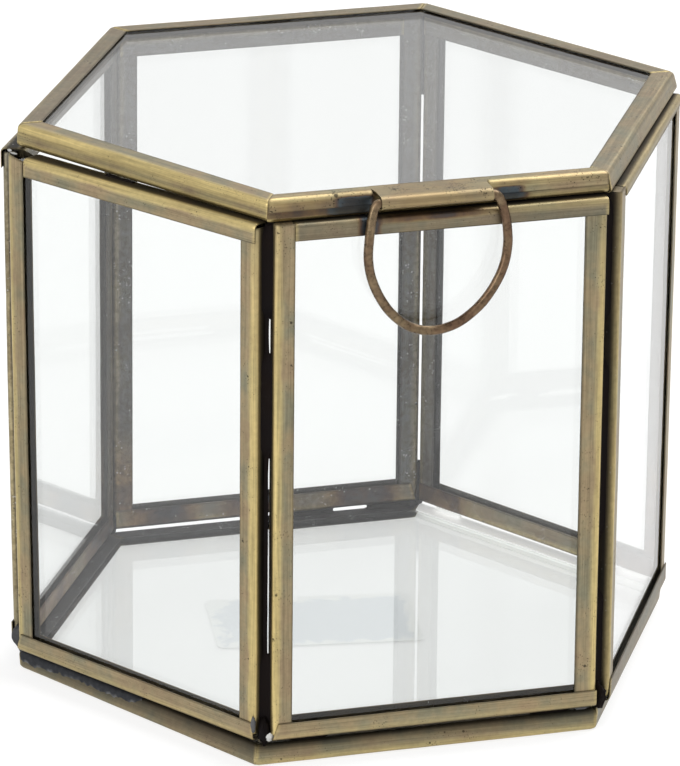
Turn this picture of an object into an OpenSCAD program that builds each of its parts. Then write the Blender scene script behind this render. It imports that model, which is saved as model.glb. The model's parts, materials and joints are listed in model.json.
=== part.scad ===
// Hexagonal glass casket box: panes edged with folded brass strip, a hinged lid and a wire ring handle.
// Millimetres, +Z up, origin at the middle of the underside, the handle side towards -Y.

/* [Box] */
// Distance over two opposite walls, across their outer faces
wall_across = 120; // [90:1:180]
// Height of a wall panel
wall_height = 103.7; // [50:0.1:180]
// Height of the solder that lifts the walls off the base
base_gap = 1.1; // [0.5:0.1:2]
// Air between the wall tops and the closed lid
lid_gap = 0.3; // [0.2:0.05:1]
// Air between the strips of two neighbouring walls, where they come closest
corner_slit = 0.55; // [0.3:0.05:1.2]

/* [Lid and base] */
// How far the edge of the lid lies inside the face of the walls
lid_inset = 2.25; // [1:0.05:2.8]
// How far the edge of the base lies inside the face of the walls
base_inset = 1.9; // [0.5:0.05:2.5]
// Air at the mitred corners of the lid and base strips
mitre_gap = 0.12; // [0.05:0.01:0.4]

/* [Glass] */
// Thickness of the panes
glass_t = 3; // [2:0.1:4]
// Air between a pane and the lips of its strips, on each face
glass_play = 0.15; // [0.05:0.01:0.3]

/* [Brass strip] */
// Thickness of the brass sheet
sheet = 0.3; // [0.2:0.05:0.5]
// Width of a strip's lip, from the edge of the panel
lip_w = 4.2; // [3:0.1:7]
// Outer radius of the strips' bends
bend_r = 1; // [0.8:0.05:1.4]
// Air between pieces that lie on each other
seat = 0.02; // [0.01:0.01:0.05]

/* [Handle] */
// Diameter of the brass wire, in the handle and in the hinge
wire_d = 1.8; // [1.4:0.1:2.2]
// Running clearance round the wire
wire_play = 0.08; // [0.04:0.01:0.1]
// Length of the rolled knuckle that holds the ring
knuckle_len = 21.8; // [14:0.1:28]
// End play of the ring in its knuckle, on each side
ring_play = 0.26; // [0.15:0.01:0.6]
// Radius of the small bends beside the knuckle, at the middle of the wire
ring_bend = 2.6; // [1.4:0.1:5]
// Drop from the pivot to the middle of the ring's round part
ring_drop = 13; // [6:0.1:24]
// How far the handle sits to the right of the middle of the front
handle_shift = -1.7; // [-5:0.1:5]
// How far the handle strip comes down over the edge of the lid
cover_drop = 2.1; // [1.6:0.1:2.6]
// Air cut into the handle strip beside the knuckle
notch_w = 0.6; // [0.3:0.1:1.2]

/* [Hinge] */
// Length of the knuckle on the lid
hinge_lid_len = 30; // [16:0.5:34]
// Length of each knuckle on the box
hinge_box_len = 10; // [6:0.5:12]
// Air between neighbouring knuckles
hinge_play = 0.3; // [0.2:0.05:0.6]
// Height of the pivot above the wall tops
hinge_rise = 0.2; // [0:0.05:0.5]
// Thickness of the pin's hammered heads
pin_head_t = 0.6; // [0.4:0.1:1.2]
// Width that the heads stand out round the pin
pin_head_rim = 0.3; // [0.2:0.05:0.4]
// Inner radius of the fold in the lid's hinge strap
strap_fold_r = 0.4; // [0.2:0.05:0.5]
// How much shorter than a lip the leaves of the box's hinge straps are
strap_short = 0.4; // [0:0.1:1]

/* [Solder] */
// Length of the solder at the top and bottom of each corner
seam_end_len = 9; // [4:0.5:16]
// Length of the solder half way up each corner
seam_mid_len = 16; // [4:0.5:24]
// Depth of the solder in the groove
seam_depth = 1.1; // [0.6:0.1:1.5]
// Length of each solder pad under the walls
pad_len = 8; // [4:0.5:12]
// Width of each solder pad
pad_w = 1.8; // [1:0.1:2]
// Distance from the end of a wall to the near end of its solder pads
pad_inset = 4; // [2:0.5:8]

/* [Label] */
// Length of the blank label under the base
label_len = 40; // [20:1:60]
// Width of the blank label
label_w = 25.5; // [12:1:40]
// Thickness of the blank label
label_t = 0.12; // [0.05:0.01:0.2]
// Turn of the label on the base, in degrees
label_turn = -9; // [-45:1:45]
// Place of the label's middle, to the right of the middle of the base
label_x = -5; // [-15:0.5:15]
// Place of the label's middle, in front of the middle of the base
label_front = -4; // [-15:0.5:15]

/* [Hidden] */
$fn = 48;
SIDES = ["front", "front_right", "back_right", "back", "back_left", "front_left"];
WALL_PIECES = ["glass", "left_strip", "right_strip", "top_strip", "bottom_strip"];

TURN = 60;
HALF = TURN / 2;
FAR = 400;

// A strip that lies on the glass, and one that laps over the ends of such strips
under_t = glass_t + 2 * (glass_play + sheet);
over_t = under_t + 2 * (sheet + seat);

// Distances from the middle of the box
wall_face = wall_across / 2;
wall_mid = wall_face - over_t / 2;
wall_back = wall_mid - under_t / 2;
lid_edge = wall_face - lid_inset;
base_edge = wall_face - base_inset;

// Half the width of a wall: the rounded inner edges of two walls stay corner_slit apart
wall_half = bend_r
    + ((wall_back + bend_r) * sin(HALF) - bend_r - corner_slit / 2) / cos(HALF);

// Heights
base_top = under_t;
wall_bottom = base_top + base_gap;
wall_top = wall_bottom + wall_height;
lid_bottom = wall_top + lid_gap;
lid_top = lid_bottom + under_t;
cover_top = lid_top + seat + sheet;

// Rolled knuckles: their backs lie on the plane of the walls' faces
wire_r = wire_d / 2;
roll_bore = wire_r + wire_play;
roll_r = roll_bore + sheet;
roll_y = wall_face + seat + roll_r;
roll_slot = 70;
handle_z = cover_top - roll_r;
hinge_z = wall_top + hinge_rise;
strap_leaf = lip_w - strap_short;

// Ring: straight in its knuckle, a small bend on each side, two limbs and half a circle
bend_x = knuckle_len / 2 + ring_play;
ring_radius = bend_x + ring_bend;

// Solder groove between two walls: half its width at a distance out along the corner
function groove_half(out) = (out * sin(HALF) - wall_half) / cos(HALF);
groove_start = wall_half * sin(HALF) + (wall_back + bend_r) * cos(HALF);

BRASS = "#8c7a4f";
WIRE = "#7a5c42";
SOLDER = "#4b4d52";
PANE = [0.85, 0.93, 0.92, 0.35];
LABEL = "#d9dcde";

// ---- Sheet metal profiles, drawn outwards along x and upwards along y ----

module both_ways() {
    children();
    mirror([1, 0, 0]) children();
}

module quarter_bend(outer_r) {
    intersection() {
        difference() {
            circle(r = outer_r);
            circle(r = outer_r - sheet);
        }
        square([outer_r, outer_r]);
    }
}

// U section: thickness along x, the web at y = 0 and the lips up to lip_w
module channel_section(thickness) {
    both_ways() {
        translate([thickness / 2 - bend_r, bend_r]) rotate(-90) quarter_bend(bend_r);
        translate([thickness / 2 - sheet, bend_r]) square([sheet, lip_w - bend_r]);
    }
    translate([bend_r - thickness / 2, 0]) square([thickness - 2 * bend_r, sheet]);
}

// Sheet rolled round the wire: it starts at the top and turns outwards, down and back
module roll_section() {
    difference() {
        circle(r = roll_r);
        circle(r = roll_bore);
        polygon([
            [0, 0],
            [0, 2 * roll_r],
            [-2 * roll_r, 2 * roll_r],
            2 * roll_r * [-sin(roll_slot), cos(roll_slot)]
        ]);
    }
}

// ---- Placing ----

// A section drawn in its own plane becomes a bar along X: its x points to -Y, its y to +Z
module bar_along_x(length) {
    rotate([90, 0, -90]) linear_extrude(height = length, center = true) children();
}

module on_side(index) {
    rotate([0, 0, TURN * index]) children();
}

// The wedge of space that belongs to the front side, less the air at its two mitres
module front_wedge(gap) {
    reach = gap / 2 / sin(HALF);
    far = FAR * tan(HALF);
    translate([0, -reach, -FAR])
        linear_extrude(height = 2 * FAR)
            polygon([[0, 0], [-far, -FAR], [far, -FAR]]);
}

// ---- Walls ----

module wall_glass() {
    color(PANE)
        translate([bend_r - wall_half, -wall_mid - glass_t / 2, wall_bottom + bend_r])
            cube([2 * (wall_half - bend_r), glass_t, wall_height - 2 * bend_r]);
}

// The upright strips end where the bends of the strips that lap over them begin
module wall_upright(bottom, top) {
    translate([-wall_half, -wall_mid, bottom])
        linear_extrude(height = top - bottom)
            rotate(-90) channel_section(under_t);
}

module wall_left_strip() {
    color(BRASS) wall_upright(wall_bottom + bend_r, wall_top);
}

module wall_right_strip() {
    color(BRASS)
        mirror([1, 0, 0]) wall_upright(wall_bottom + bend_r, wall_top - bend_r);
}

module wall_bottom_strip() {
    color(BRASS)
        intersection() {
            translate([0, -wall_mid, wall_bottom])
                bar_along_x(2 * wall_half) channel_section(over_t);
            front_wedge(corner_slit);
        }
}

// The top strip butts against the lip of the left one and laps over the right one
module wall_top_strip() {
    start = lip_w + seat - wall_half;
    color(BRASS)
        intersection() {
            translate([(start + wall_half) / 2, -wall_mid, wall_top])
                mirror([0, 0, 1])
                    bar_along_x(wall_half - start) channel_section(over_t);
            front_wedge(corner_slit);
        }
}

module wall_piece(piece) {
    if (piece == "glass") wall_glass();
    if (piece == "left_strip") wall_left_strip();
    if (piece == "right_strip") wall_right_strip();
    if (piece == "top_strip") wall_top_strip();
    if (piece == "bottom_strip") wall_bottom_strip();
}

// ---- Lid and base panels ----

module panel_strip(edge, bottom) {
    color(BRASS)
        intersection() {
            translate([0, -edge, bottom + under_t / 2])
                rotate([-90, 0, 0]) bar_along_x(2 * edge) channel_section(under_t);
            front_wedge(mitre_gap);
        }
}

// A six-sided plate, from the distance between its middle and the middle of a side
module hexagon_plate(half_across, thickness) {
    corner = half_across / cos(HALF);
    linear_extrude(height = thickness)
        polygon([for (i = [0:5]) corner * [cos(TURN * i), sin(TURN * i)]]);
}

module panel_glass(edge, bottom) {
    color(PANE)
        translate([0, 0, bottom + (under_t - glass_t) / 2])
            hexagon_plate(edge - bend_r, glass_t);
}

module base_label() {
    glass_underside = (under_t - glass_t) / 2;
    color(LABEL)
        translate([label_x, -label_front, glass_underside - seat - label_t])
            rotate([0, 0, label_turn])
                translate([-label_len / 2, -label_w / 2, 0])
                    cube([label_len, label_w, label_t]);
}

// ---- Handle ----

// The strip folded over the front edge of the lid, without the part that the knuckle takes
module handle_fold() {
    fold_r = bend_r + seat + sheet;
    difference() {
        translate([0, -lid_edge + bend_r, lid_top - bend_r])
            bar_along_x(2 * lid_edge) {
                quarter_bend(fold_r);
                translate([fold_r - sheet, bend_r - cover_drop])
                    square([sheet, cover_drop - bend_r]);
                translate([bend_r - lip_w, fold_r - sheet])
                    square([lip_w - bend_r, sheet]);
            }
        translate([handle_shift - knuckle_len / 2 - notch_w, -lid_edge - fold_r, 0])
            cube([knuckle_len + 2 * notch_w, fold_r + bend_r, 2 * lid_top]);
    }
}

// The tab that runs on from the strip's top and is rolled round the ring's wire
module handle_knuckle() {
    translate([handle_shift, -roll_y, handle_z])
        bar_along_x(knuckle_len) {
            roll_section();
            translate([lid_edge - bend_r - roll_y, roll_r - sheet])
                square([roll_y - lid_edge + bend_r, sheet]);
        }
}

module handle_strip() {
    color(BRASS)
        union() {
            intersection() {
                handle_fold();
                front_wedge(mitre_gap);
            }
            handle_knuckle();
        }
}

module wire_arc(radius, sweep) {
    rotate_extrude(angle = sweep) translate([radius, 0]) circle(r = wire_r);
}

// The right half of the ring's top in the plane of the ring, with the pivot at the origin
module ring_shoulder() {
    rotate([0, 90, 0]) cylinder(r = wire_r, h = bend_x);
    translate([bend_x, -ring_bend, 0]) wire_arc(ring_bend, 90);
    translate([ring_radius, -ring_drop, 0])
        rotate([-90, 0, 0]) cylinder(r = wire_r, h = ring_drop - ring_bend);
}

module handle_ring() {
    color(WIRE)
        translate([handle_shift, -roll_y, handle_z])
            rotate([90, 0, 0]) {
                both_ways() ring_shoulder();
                translate([0, -ring_drop, 0])
                    rotate([0, 0, 180]) wire_arc(ring_radius, 180);
            }
}

// ---- Hinge, drawn on the front side and turned to the back ----

module hinge_lid_strap() {
    flange_x = lid_edge + seat - roll_y;
    fold_x = flange_x + sheet + strap_fold_r;
    fold_y = roll_r + strap_fold_r;
    flange_top = lid_top - bend_r - hinge_z;
    color(BRASS)
        on_side(3)
            translate([0, -roll_y, hinge_z])
                bar_along_x(hinge_lid_len) {
                    roll_section();
                    translate([fold_x, roll_r - sheet]) square([-fold_x, sheet]);
                    translate([fold_x, fold_y])
                        rotate(180) quarter_bend(strap_fold_r + sheet);
                    translate([flange_x, fold_y]) square([sheet, flange_top - fold_y]);
                }
}

module hinge_box_strap(side) {
    middle = hinge_lid_len / 2 + hinge_play + hinge_box_len / 2;
    color(BRASS)
        on_side(3)
            translate([side * middle, -roll_y, hinge_z])
                bar_along_x(hinge_box_len) {
                    rotate(90) roll_section();
                    translate([-roll_r, -hinge_rise - strap_leaf])
                        square([sheet, hinge_rise + strap_leaf]);
                }
}

module hinge_pin() {
    shank = hinge_lid_len + 2 * (2 * hinge_play + hinge_box_len);
    color(WIRE)
        translate([0, roll_y, hinge_z])
            rotate([0, 90, 0]) {
                cylinder(r = wire_r, h = shank, center = true);
                for (end = [-1, 1])
                    translate([0, 0, end * (shank + pin_head_t) / 2])
                        cylinder(r = wire_r + pin_head_rim, h = pin_head_t, center = true);
            }
}

// ---- Solder ----

// One length of solder in the groove at the right end of the front wall
module seam_run(bottom, length) {
    inner = groove_start;
    outer = groove_start + seam_depth;
    near = groove_half(inner) - seat;
    wide = groove_half(outer) - seat;
    rotate([0, 0, -TURN])
        translate([0, 0, bottom])
            linear_extrude(height = length)
                polygon([[inner, -near], [outer, -wide], [outer, wide], [inner, near]]);
}

module seam_solder() {
    color(SOLDER)
        for (index = [0:5])
            on_side(index) {
                seam_run(wall_bottom + bend_r, seam_end_len);
                seam_run((wall_bottom + wall_top - seam_mid_len) / 2, seam_mid_len);
                seam_run(wall_top - bend_r - seam_end_len, seam_end_len);
            }
}

module solder_pad() {
    length = pad_len - pad_w;
    translate([-length / 2, -pad_w / 2, 0]) cube([length, pad_w, base_gap]);
    for (end = [-1, 1])
        translate([end * length / 2, 0, 0]) cylinder(d = pad_w, h = base_gap);
}

module base_solder() {
    pad_y = (base_edge + wall_mid - over_t / 2) / 2;
    pad_x = wall_half - pad_inset - pad_len / 2;
    color(SOLDER)
        for (index = [0:5])
            on_side(index)
                for (end = [-1, 1])
                    translate([end * pad_x, -pad_y, base_top]) solder_pad();
}

// ---- The pieces, one at a time or all together ----

for (index = [0:5])
    for (piece = WALL_PIECES)
        on_side(index) wall_piece(piece);
for (index = [0:5])
    on_side(index) panel_strip(lid_edge, lid_bottom);
for (index = [0:5])
    on_side(index) panel_strip(base_edge, 0);
panel_glass(lid_edge, lid_bottom);  // lid_glass
panel_glass(base_edge, 0);  // base_glass
base_label();
base_solder();
seam_solder();
handle_strip();
handle_ring();
hinge_lid_strap();
hinge_box_strap(-1);  // hinge_left_strap
hinge_box_strap(1);  // hinge_right_strap
hinge_pin();
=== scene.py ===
"""Hexagonal glass casket box: brass strips folded over glass panes, a hinged lid, a wire ring and solder.

The packed model is loaded as a fixed frame, in metres, +Z up, with the handle side towards -Y.
Each operator below makes one kind of piece round that frame, and the last one sets the stage.
"""

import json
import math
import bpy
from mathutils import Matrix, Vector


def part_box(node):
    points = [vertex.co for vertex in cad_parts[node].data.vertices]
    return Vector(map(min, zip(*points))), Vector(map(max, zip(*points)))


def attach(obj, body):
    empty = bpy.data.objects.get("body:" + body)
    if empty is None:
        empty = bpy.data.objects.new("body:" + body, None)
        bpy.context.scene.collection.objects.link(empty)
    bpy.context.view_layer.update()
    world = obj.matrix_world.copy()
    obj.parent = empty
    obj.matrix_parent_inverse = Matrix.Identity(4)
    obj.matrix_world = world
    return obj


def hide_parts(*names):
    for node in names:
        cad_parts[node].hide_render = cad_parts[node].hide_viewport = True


bl_info = {
    "name": "Glass Casket Box",
    "version": (1, 0, 0),
    "blender": (4, 5, 0),
    "location": "View3D > Sidebar > Casket",
    "description": "Makes the strips, panes, handle, hinge, solder and label of a hexagonal glass casket",
    "category": "Object",
}

import bmesh
import bpy
from bpy.props import FloatProperty, FloatVectorProperty, IntProperty, PointerProperty
from bpy.types import Operator, Panel, PropertyGroup
from mathutils import Matrix, Vector, noise

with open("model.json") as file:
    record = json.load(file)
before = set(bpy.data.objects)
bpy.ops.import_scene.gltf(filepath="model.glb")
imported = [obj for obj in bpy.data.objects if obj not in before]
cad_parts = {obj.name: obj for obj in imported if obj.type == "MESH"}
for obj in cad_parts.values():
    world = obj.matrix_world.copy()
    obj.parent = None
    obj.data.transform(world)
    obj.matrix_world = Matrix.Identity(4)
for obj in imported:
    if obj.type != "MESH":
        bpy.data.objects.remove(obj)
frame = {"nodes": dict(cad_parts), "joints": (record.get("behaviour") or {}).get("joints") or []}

MM = 0.001
SIDES = ("front", "front_right", "back_right", "back", "back_left", "front_left")
TURN = math.radians(60)
HALF_TURN = TURN / 2
SIDE_TURNS = [Matrix.Rotation(TURN * index, 3, "Z") for index in range(6)]

# ---- Sizes taken from the frame ----

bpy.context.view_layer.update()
UPRIGHT_LOW, UPRIGHT_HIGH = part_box("front_wall_left_strip")
SILL_LOW, SILL_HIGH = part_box("front_wall_bottom_strip")
PANE_LOW, PANE_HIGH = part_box("front_wall_glass")
LID_LOW, LID_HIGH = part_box("lid_front_strip")
BASE_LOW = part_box("base_front_strip")[0]
LID_PANE_LOW, LID_PANE_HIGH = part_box("lid_glass")
BASE_PANE_LOW, BASE_PANE_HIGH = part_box("base_glass")
COVER_LOW, COVER_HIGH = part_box("handle_strip")
RING_LOW, RING_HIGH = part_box("handle_ring")
LABEL_LOW, LABEL_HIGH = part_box("base_label")
PIN_LOW, PIN_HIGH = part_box("hinge_pin")
PAD_LOW, PAD_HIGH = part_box("base_solder")
PIVOTS = {joint["name"]: Vector(joint["pos_m"]) for joint in frame["joints"]}

WALL_HALF = -UPRIGHT_LOW.x
LIP_WIDTH = UPRIGHT_HIGH.x - UPRIGHT_LOW.x
UNDER_DEPTH = UPRIGHT_HIGH.y - UPRIGHT_LOW.y
OVER_DEPTH = SILL_HIGH.y - SILL_LOW.y
WALL_MID = -(SILL_LOW.y + SILL_HIGH.y) / 2
WALL_BACK = WALL_MID - UNDER_DEPTH / 2
WALL_BOTTOM = SILL_LOW.z
WALL_TOP = UPRIGHT_HIGH.z
SHORT_UPRIGHT_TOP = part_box("front_wall_right_strip")[1].z
TOP_RAIL_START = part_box("front_wall_top_strip")[0].x
LID_EDGE = -LID_LOW.y
BASE_EDGE = -BASE_LOW.y
MITRE_GAP = 2 * (LID_EDGE * math.sin(HALF_TURN) - LID_HIGH.x * math.cos(HALF_TURN))
# Along a strip, what each mitre of the lid and the base is cut back for its gap
MITRE_CUT = MITRE_GAP / 2 / math.cos(HALF_TURN)
RING_PIVOT = PIVOTS["handle_swing"]
HINGE_PIVOT = PIVOTS["lid_hinge"]
WIRE_RADIUS = (RING_HIGH.y - RING_LOW.y) / 2
ROLL_RADIUS = COVER_HIGH.z - RING_PIVOT.z


# ---- How the walls have settled ----

# From the middle to the front corners, from there to the far corners, and along the front
NEAR_CORNER = 33 * MM
SIDE_REACH = 34 * MM
FRONT_REACH = 9 * MM
# How far the far left corner leans out and has sunk, and the far right one leans in, low and high
LEAN_OUT = 1.5 * MM
SUNK = 0.95 * MM
LEAN_IN_LOW = 0.8 * MM
LEAN_IN_HIGH = 0.3 * MM
# How far the front's right corner stands aside
FRONT_ASIDE = 0.5 * MM


# ---- Settings a user would change ----


def length_setting(name, description, default, low, high):
    """A length, given in millimetres and kept in metres."""
    return FloatProperty(
        name=name,
        description=description,
        default=default * MM,
        min=low * MM,
        max=high * MM,
        unit="LENGTH",
        precision=5,
    )


def colour_setting(name, description, red, green, blue):
    return FloatVectorProperty(
        name=name,
        description=description,
        subtype="COLOR",
        size=4,
        default=(red, green, blue, 1.0),
        min=0.0,
        max=1.0,
    )


def angle_setting(name, description, degrees):
    turn = math.radians(degrees)
    return FloatProperty(name=name, description=description, default=turn, subtype="ANGLE")


def plain_setting(name, description, default, low, high, **kind):
    return FloatProperty(name=name, description=description, default=default, min=low, max=high, **kind)


class CasketBrass(PropertyGroup):
    """Sizes and colours of the antique brass sheet"""

    thickness: length_setting("Sheet Thickness", "Thickness of the brass sheet", 0.3, 0.1, 0.6)
    bend_radius: length_setting("Bend Radius", "Outer radius of the strips' bends", 1.0, 0.6, 1.5)
    corner_slit: length_setting("Corner Slit", "Air between the strips of two walls", 0.55, 0.2, 1.2)
    hand_wave: length_setting("Hand Wave", "How far the strips wander from straight", 0.045, 0.0, 0.2)
    end_round: length_setting("Rounded Ends", "How far the filed ends are drawn in", 0.09, 0.0, 0.2)
    # Rubbed Brass is the gold of brass rubbed bare along the bends, which also stands in there as a painted
    # highlight.
    rubbed: colour_setting("Rubbed Brass", "Where the finish is rubbed through", 0.60, 0.475, 0.205)
    faces: colour_setting("Aged Faces", "The flat faces", 0.345, 0.272, 0.158)
    greenish: colour_setting("Greenish Faces", "The greener stretches of the faces", 0.24, 0.223, 0.148)
    slate: colour_setting("Slate Faces", "The greyer strips at the back", 0.115, 0.108, 0.090)
    crust: colour_setting("Bluish Crust", "Patches of crust on the strips at the back", 0.092, 0.100, 0.118)
    # The next two colours are painted shade, on inner faces and in the grooves; the first is also the
    # wire's specks, the second the solder's blue black.
    painted_shade_and_specks: colour_setting("Sheltered Faces", "Inner faces and grooves", 0.022, 0.018, 0.014)
    groove: colour_setting("Grooves", "The blue black finish deep in the grooves", 0.005, 0.005, 0.007)


class CasketGlass(PropertyGroup):
    """Look of the panes"""

    tint: colour_setting("Tint", "What one pane does to the colour behind it", 0.915, 0.925, 0.92)
    edge_bevel: length_setting("Edge Bevel", "Width of the seamed edges of the panes", 0.25, 0.05, 0.5)


class CasketHandle(PropertyGroup):
    """Sizes of the handle strip and its wire"""

    knuckle_length: length_setting("Knuckle Length", "The knuckle that holds the ring", 21.8, 14, 28)
    notch: length_setting("Notch", "Air cut into the strip beside the knuckle", 0.35, 0.3, 1.2)
    wire: colour_setting("Wire", "The browned brass wire", 0.135, 0.082, 0.050)
    wire_rubbed: colour_setting("Rubbed Wire", "Paler stretches of the wire", 0.20, 0.145, 0.085)


class CasketStage(PropertyGroup):
    """Camera, lamps and background"""

    azimuth: angle_setting("Azimuth", "Turn of the camera round the box", -16.788)
    elevation: angle_setting("Elevation", "Height of the camera above the horizon", 20.105)
    roll: angle_setting("Roll", "Turn of the camera about its own axis", 0.594)
    distance: length_setting("Distance", "From the camera to the point that it looks at", 1253.2, 300, 5000)
    aim: FloatVectorProperty(
        name="Aim",
        description="The point that the camera looks at",
        subtype="TRANSLATION",
        size=3,
        default=(-1.43 * MM, 0.43 * MM, 53.59 * MM),
    )
    focal_length: plain_setting("Focal Length", "In millimetres, for a 36 mm sensor", 297.99, 20.0, 600.0)
    surroundings: plain_setting("Surroundings", "Light from all round; 1 is a white room", 0.55, 0.0, 1.5)
    key_power: plain_setting("Key Lamp", "The large lamp above", 10.0, 0.0, 100.0, unit="POWER")
    fill_power: plain_setting("Fill Lamp", "The tall lamp at the left", 5.0, 0.0, 100.0, unit="POWER")
    floor_glow: plain_setting("Floor Glow", "Light that the floor adds of its own", 0.76, 0.0, 1.0)
    seed: IntProperty(
        name="Seed",
        description="Chooses the irregularities of the handwork",
        default=7,
        min=0,
        max=999,
    )


# ---- Small helpers ----


def smooth_step(value):
    """0 below 0, 1 above 1 and a smooth rise between."""
    held = min(1.0, max(0.0, value))
    return held * held * (3 - 2 * held)


def wander(along, seed, length):
    """A smooth random value, about -1 to 1, that changes over the given length."""
    return noise.noise(Vector((along / length, seed * 3.7, seed * 1.3)))


def turned(point, index):
    """A point of the front side, turned to the side of that index."""
    return SIDE_TURNS[index] @ point


def settled(point):
    """A point of the walls as they really stand.

    The corner at the far left leans out and has sunk a little, and the one at the far right leans in.
    The strips at the front's right corner stand a little to the right.
    """
    beyond = point.x - NEAR_CORNER
    front_right = max(0.0, 1 - beyond / (SIDE_REACH if beyond > 0 else -FRONT_REACH))
    if point.y >= 0:
        front_right = 0.0
    far_left = max(0.0, -point.x - NEAR_CORNER) / SIDE_REACH
    far_right = max(0.0, beyond) / SIDE_REACH
    up = min(1.0, max(0.0, point.z / WALL_TOP))
    out_left = LEAN_OUT * far_left * up * (1.4 - 0.4 * up)
    in_right = (LEAN_IN_LOW + (LEAN_IN_HIGH - LEAN_IN_LOW) * up) * far_right
    aside = FRONT_ASIDE * front_right - out_left - in_right
    return point + Vector((aside, 0, -SUNK * far_left * up * up))


# Edges that turn by more than these angles are drawn sharp, in degrees: on brass, on solder and on a pane
SHARP_ANGLE = 38.0
SOLDER_ANGLE = 60.0
PANE_ANGLE = 12.0


class PieceMesh:
    """Vertices, faces and per-vertex values of one piece, gathered before its mesh is made."""

    def __init__(self):
        self.vertices = []
        self.faces = []
        self.values = {}

    def add(self, vertices, faces, **values):
        """Adds vertices and faces; a value that isn't given for them is 0 there."""
        first = len(self.vertices)
        self.vertices.extend(vertices)
        self.faces.extend([tuple(first + corner for corner in face) for face in faces])
        blank = (0.0, 0.0, 0.0)
        for name in {**self.values, **values}:
            rows = self.values.setdefault(name, [])
            rows.extend([blank] * (first - len(rows)))
            rows.extend(values.get(name, [blank] * len(vertices)))

    def settle(self):
        self.vertices = [settled(vertex) for vertex in self.vertices]
        return self

    def make(self, name, material, body, slot, replaces=(), sharp_angle=SHARP_ANGLE):
        mesh = bpy.data.meshes.new(name)
        mesh.from_pydata([tuple(v) for v in self.vertices], [], self.faces)
        for value_name, rows in self.values.items():
            attribute = mesh.attributes.new(value_name, "FLOAT_VECTOR", "POINT")
            attribute.data.foreach_set("vector", [number for row in rows for number in row])
        return dress(name, mesh, material, body, replaces, sharp_angle)


def dress(name, mesh, material, body, replaces, sharp_angle):
    """Makes an object of the mesh, with outward faces and its finish, on its body of the frame."""
    shell = bmesh.new()
    shell.from_mesh(mesh)
    bmesh.ops.recalc_face_normals(shell, faces=shell.faces)
    shell.to_mesh(mesh)
    shell.free()
    mesh.shade_smooth()
    mesh.set_sharp_from_angle(angle=math.radians(sharp_angle))
    mesh.materials.append(material)
    for node_name in replaces:
        frame["nodes"][node_name].name = "cad_" + node_name
    piece = bpy.data.objects.new(name, mesh)
    bpy.context.scene.collection.objects.link(piece)
    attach(piece, body)
    if replaces:
        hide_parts(*replaces)
    return piece


# ---- Bent sheet ----


class SheetSection:
    """The outer face of a bent sheet in cross section, from one free edge to the other.

    The face is on the left of the way that the section is drawn.
    """

    def __init__(self):
        self.points = []
        self.bends = []
        self.length = 0.0

    def _point(self, x, y, normal_x, normal_y):
        if self.points:
            step = math.hypot(x - self.points[-1][0], y - self.points[-1][1])
            if step < 1e-7:
                return
            self.length += step
        self.points.append((x, y, normal_x, normal_y, self.length))

    def run(self, start, end, steps=4):
        size = math.dist(start, end)
        normal = ((start[1] - end[1]) / size, (end[0] - start[0]) / size)
        for step in range(steps + 1):
            share = step / steps
            x = start[0] + (end[0] - start[0]) * share
            y = start[1] + (end[1] - start[1]) * share
            self._point(x, y, *normal)
        return self

    def bend(self, centre, radius, start, end, steps=7):
        facing = 1 if end < start else -1
        before = self.length
        for step in range(steps + 1):
            angle = math.radians(start + (end - start) * step / steps)
            x, y = math.cos(angle), math.sin(angle)
            self._point(centre[0] + radius * x, centre[1] + radius * y, facing * x, facing * y)
        self.bends.append((before + self.length) / 2)
        return self

    def stage_of(self, across):
        """0 at the first free edge, 1 at the first bend, 2 at the next and so on to the last free edge."""
        stops = [0.0, *self.bends, self.length]
        for index in range(len(stops) - 1):
            if across <= stops[index + 1]:
                return index + (across - stops[index]) / (stops[index + 1] - stops[index])
        return len(stops) - 1.0

    def loop(self, thickness):
        """The closed outline of the sheet: rows of x, y, normal x, normal y, across and inside."""
        rows = [(*point, 0.0) for point in self.points]
        rows += self._edge(self.points[-1], self.points[-2], thickness, (0.25, 0.75))
        for x, y, normal_x, normal_y, across in reversed(self.points):
            rows.append((x - normal_x * thickness, y - normal_y * thickness, 0.0, 0.0, across, 1.0))
        rows += self._edge(self.points[0], self.points[1], thickness, (0.75, 0.25))
        return rows

    def _edge(self, end, before, thickness, shares):
        """The rounded free edge, drawn from the outer face to the inner one, or back."""
        way_x = end[0] - before[0]
        way_y = end[1] - before[1]
        out = 0.3 * thickness / math.hypot(way_x, way_y)
        rows = []
        for share in shares:
            x = end[0] - end[2] * thickness * share + way_x * out
            y = end[1] - end[3] * thickness * share + way_y * out
            rows.append((x, y, 0.0, 0.0, end[4], share))
        return rows


def channel_section(depth, lip, brass):
    """U section: depth along x, the web at y = 0 and the lips up to y = lip."""
    radius = brass.bend_radius
    tip = lip - 0.3 * brass.thickness
    out = depth / 2
    section = SheetSection()
    section.run((out, tip), (out, radius))
    section.bend((out - radius, radius), radius, 0, -90)
    section.run((out - radius, 0), (radius - out, 0), 6)
    section.bend((radius - out, radius), radius, -90, -180)
    section.run((-out, radius), (-out, tip))
    return section


def between(rows, place):
    """The value at a place, on straight lines between rows of place and value."""
    for (low, first), (high, second) in zip(rows, rows[1:]):
        if place <= high:
            return first + (second - first) * max(0.0, place - low) / (high - low)
    return rows[-1][1]


# How much painted shade the inner face of a strip gets, and how far its grain moves from seed to seed
INSIDE_SHADE = 0.82
GRAIN_SHIFT = 0.0137
# How far from its end a strip's filed faces are drawn in
FILED_REACH = 0.4 * MM


def station_shares(length, count):
    """Shares from 0 to 1 along a strip, closest together at both ends."""
    ends = [near * MM / length for near in (0.0, 0.07, 0.18, 0.4)]
    first = 0.9 * MM / length
    middle = [first + (1 - 2 * first) * step / count for step in range(count + 1)]
    return ends + middle + [1 - share for share in reversed(ends)]


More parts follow.
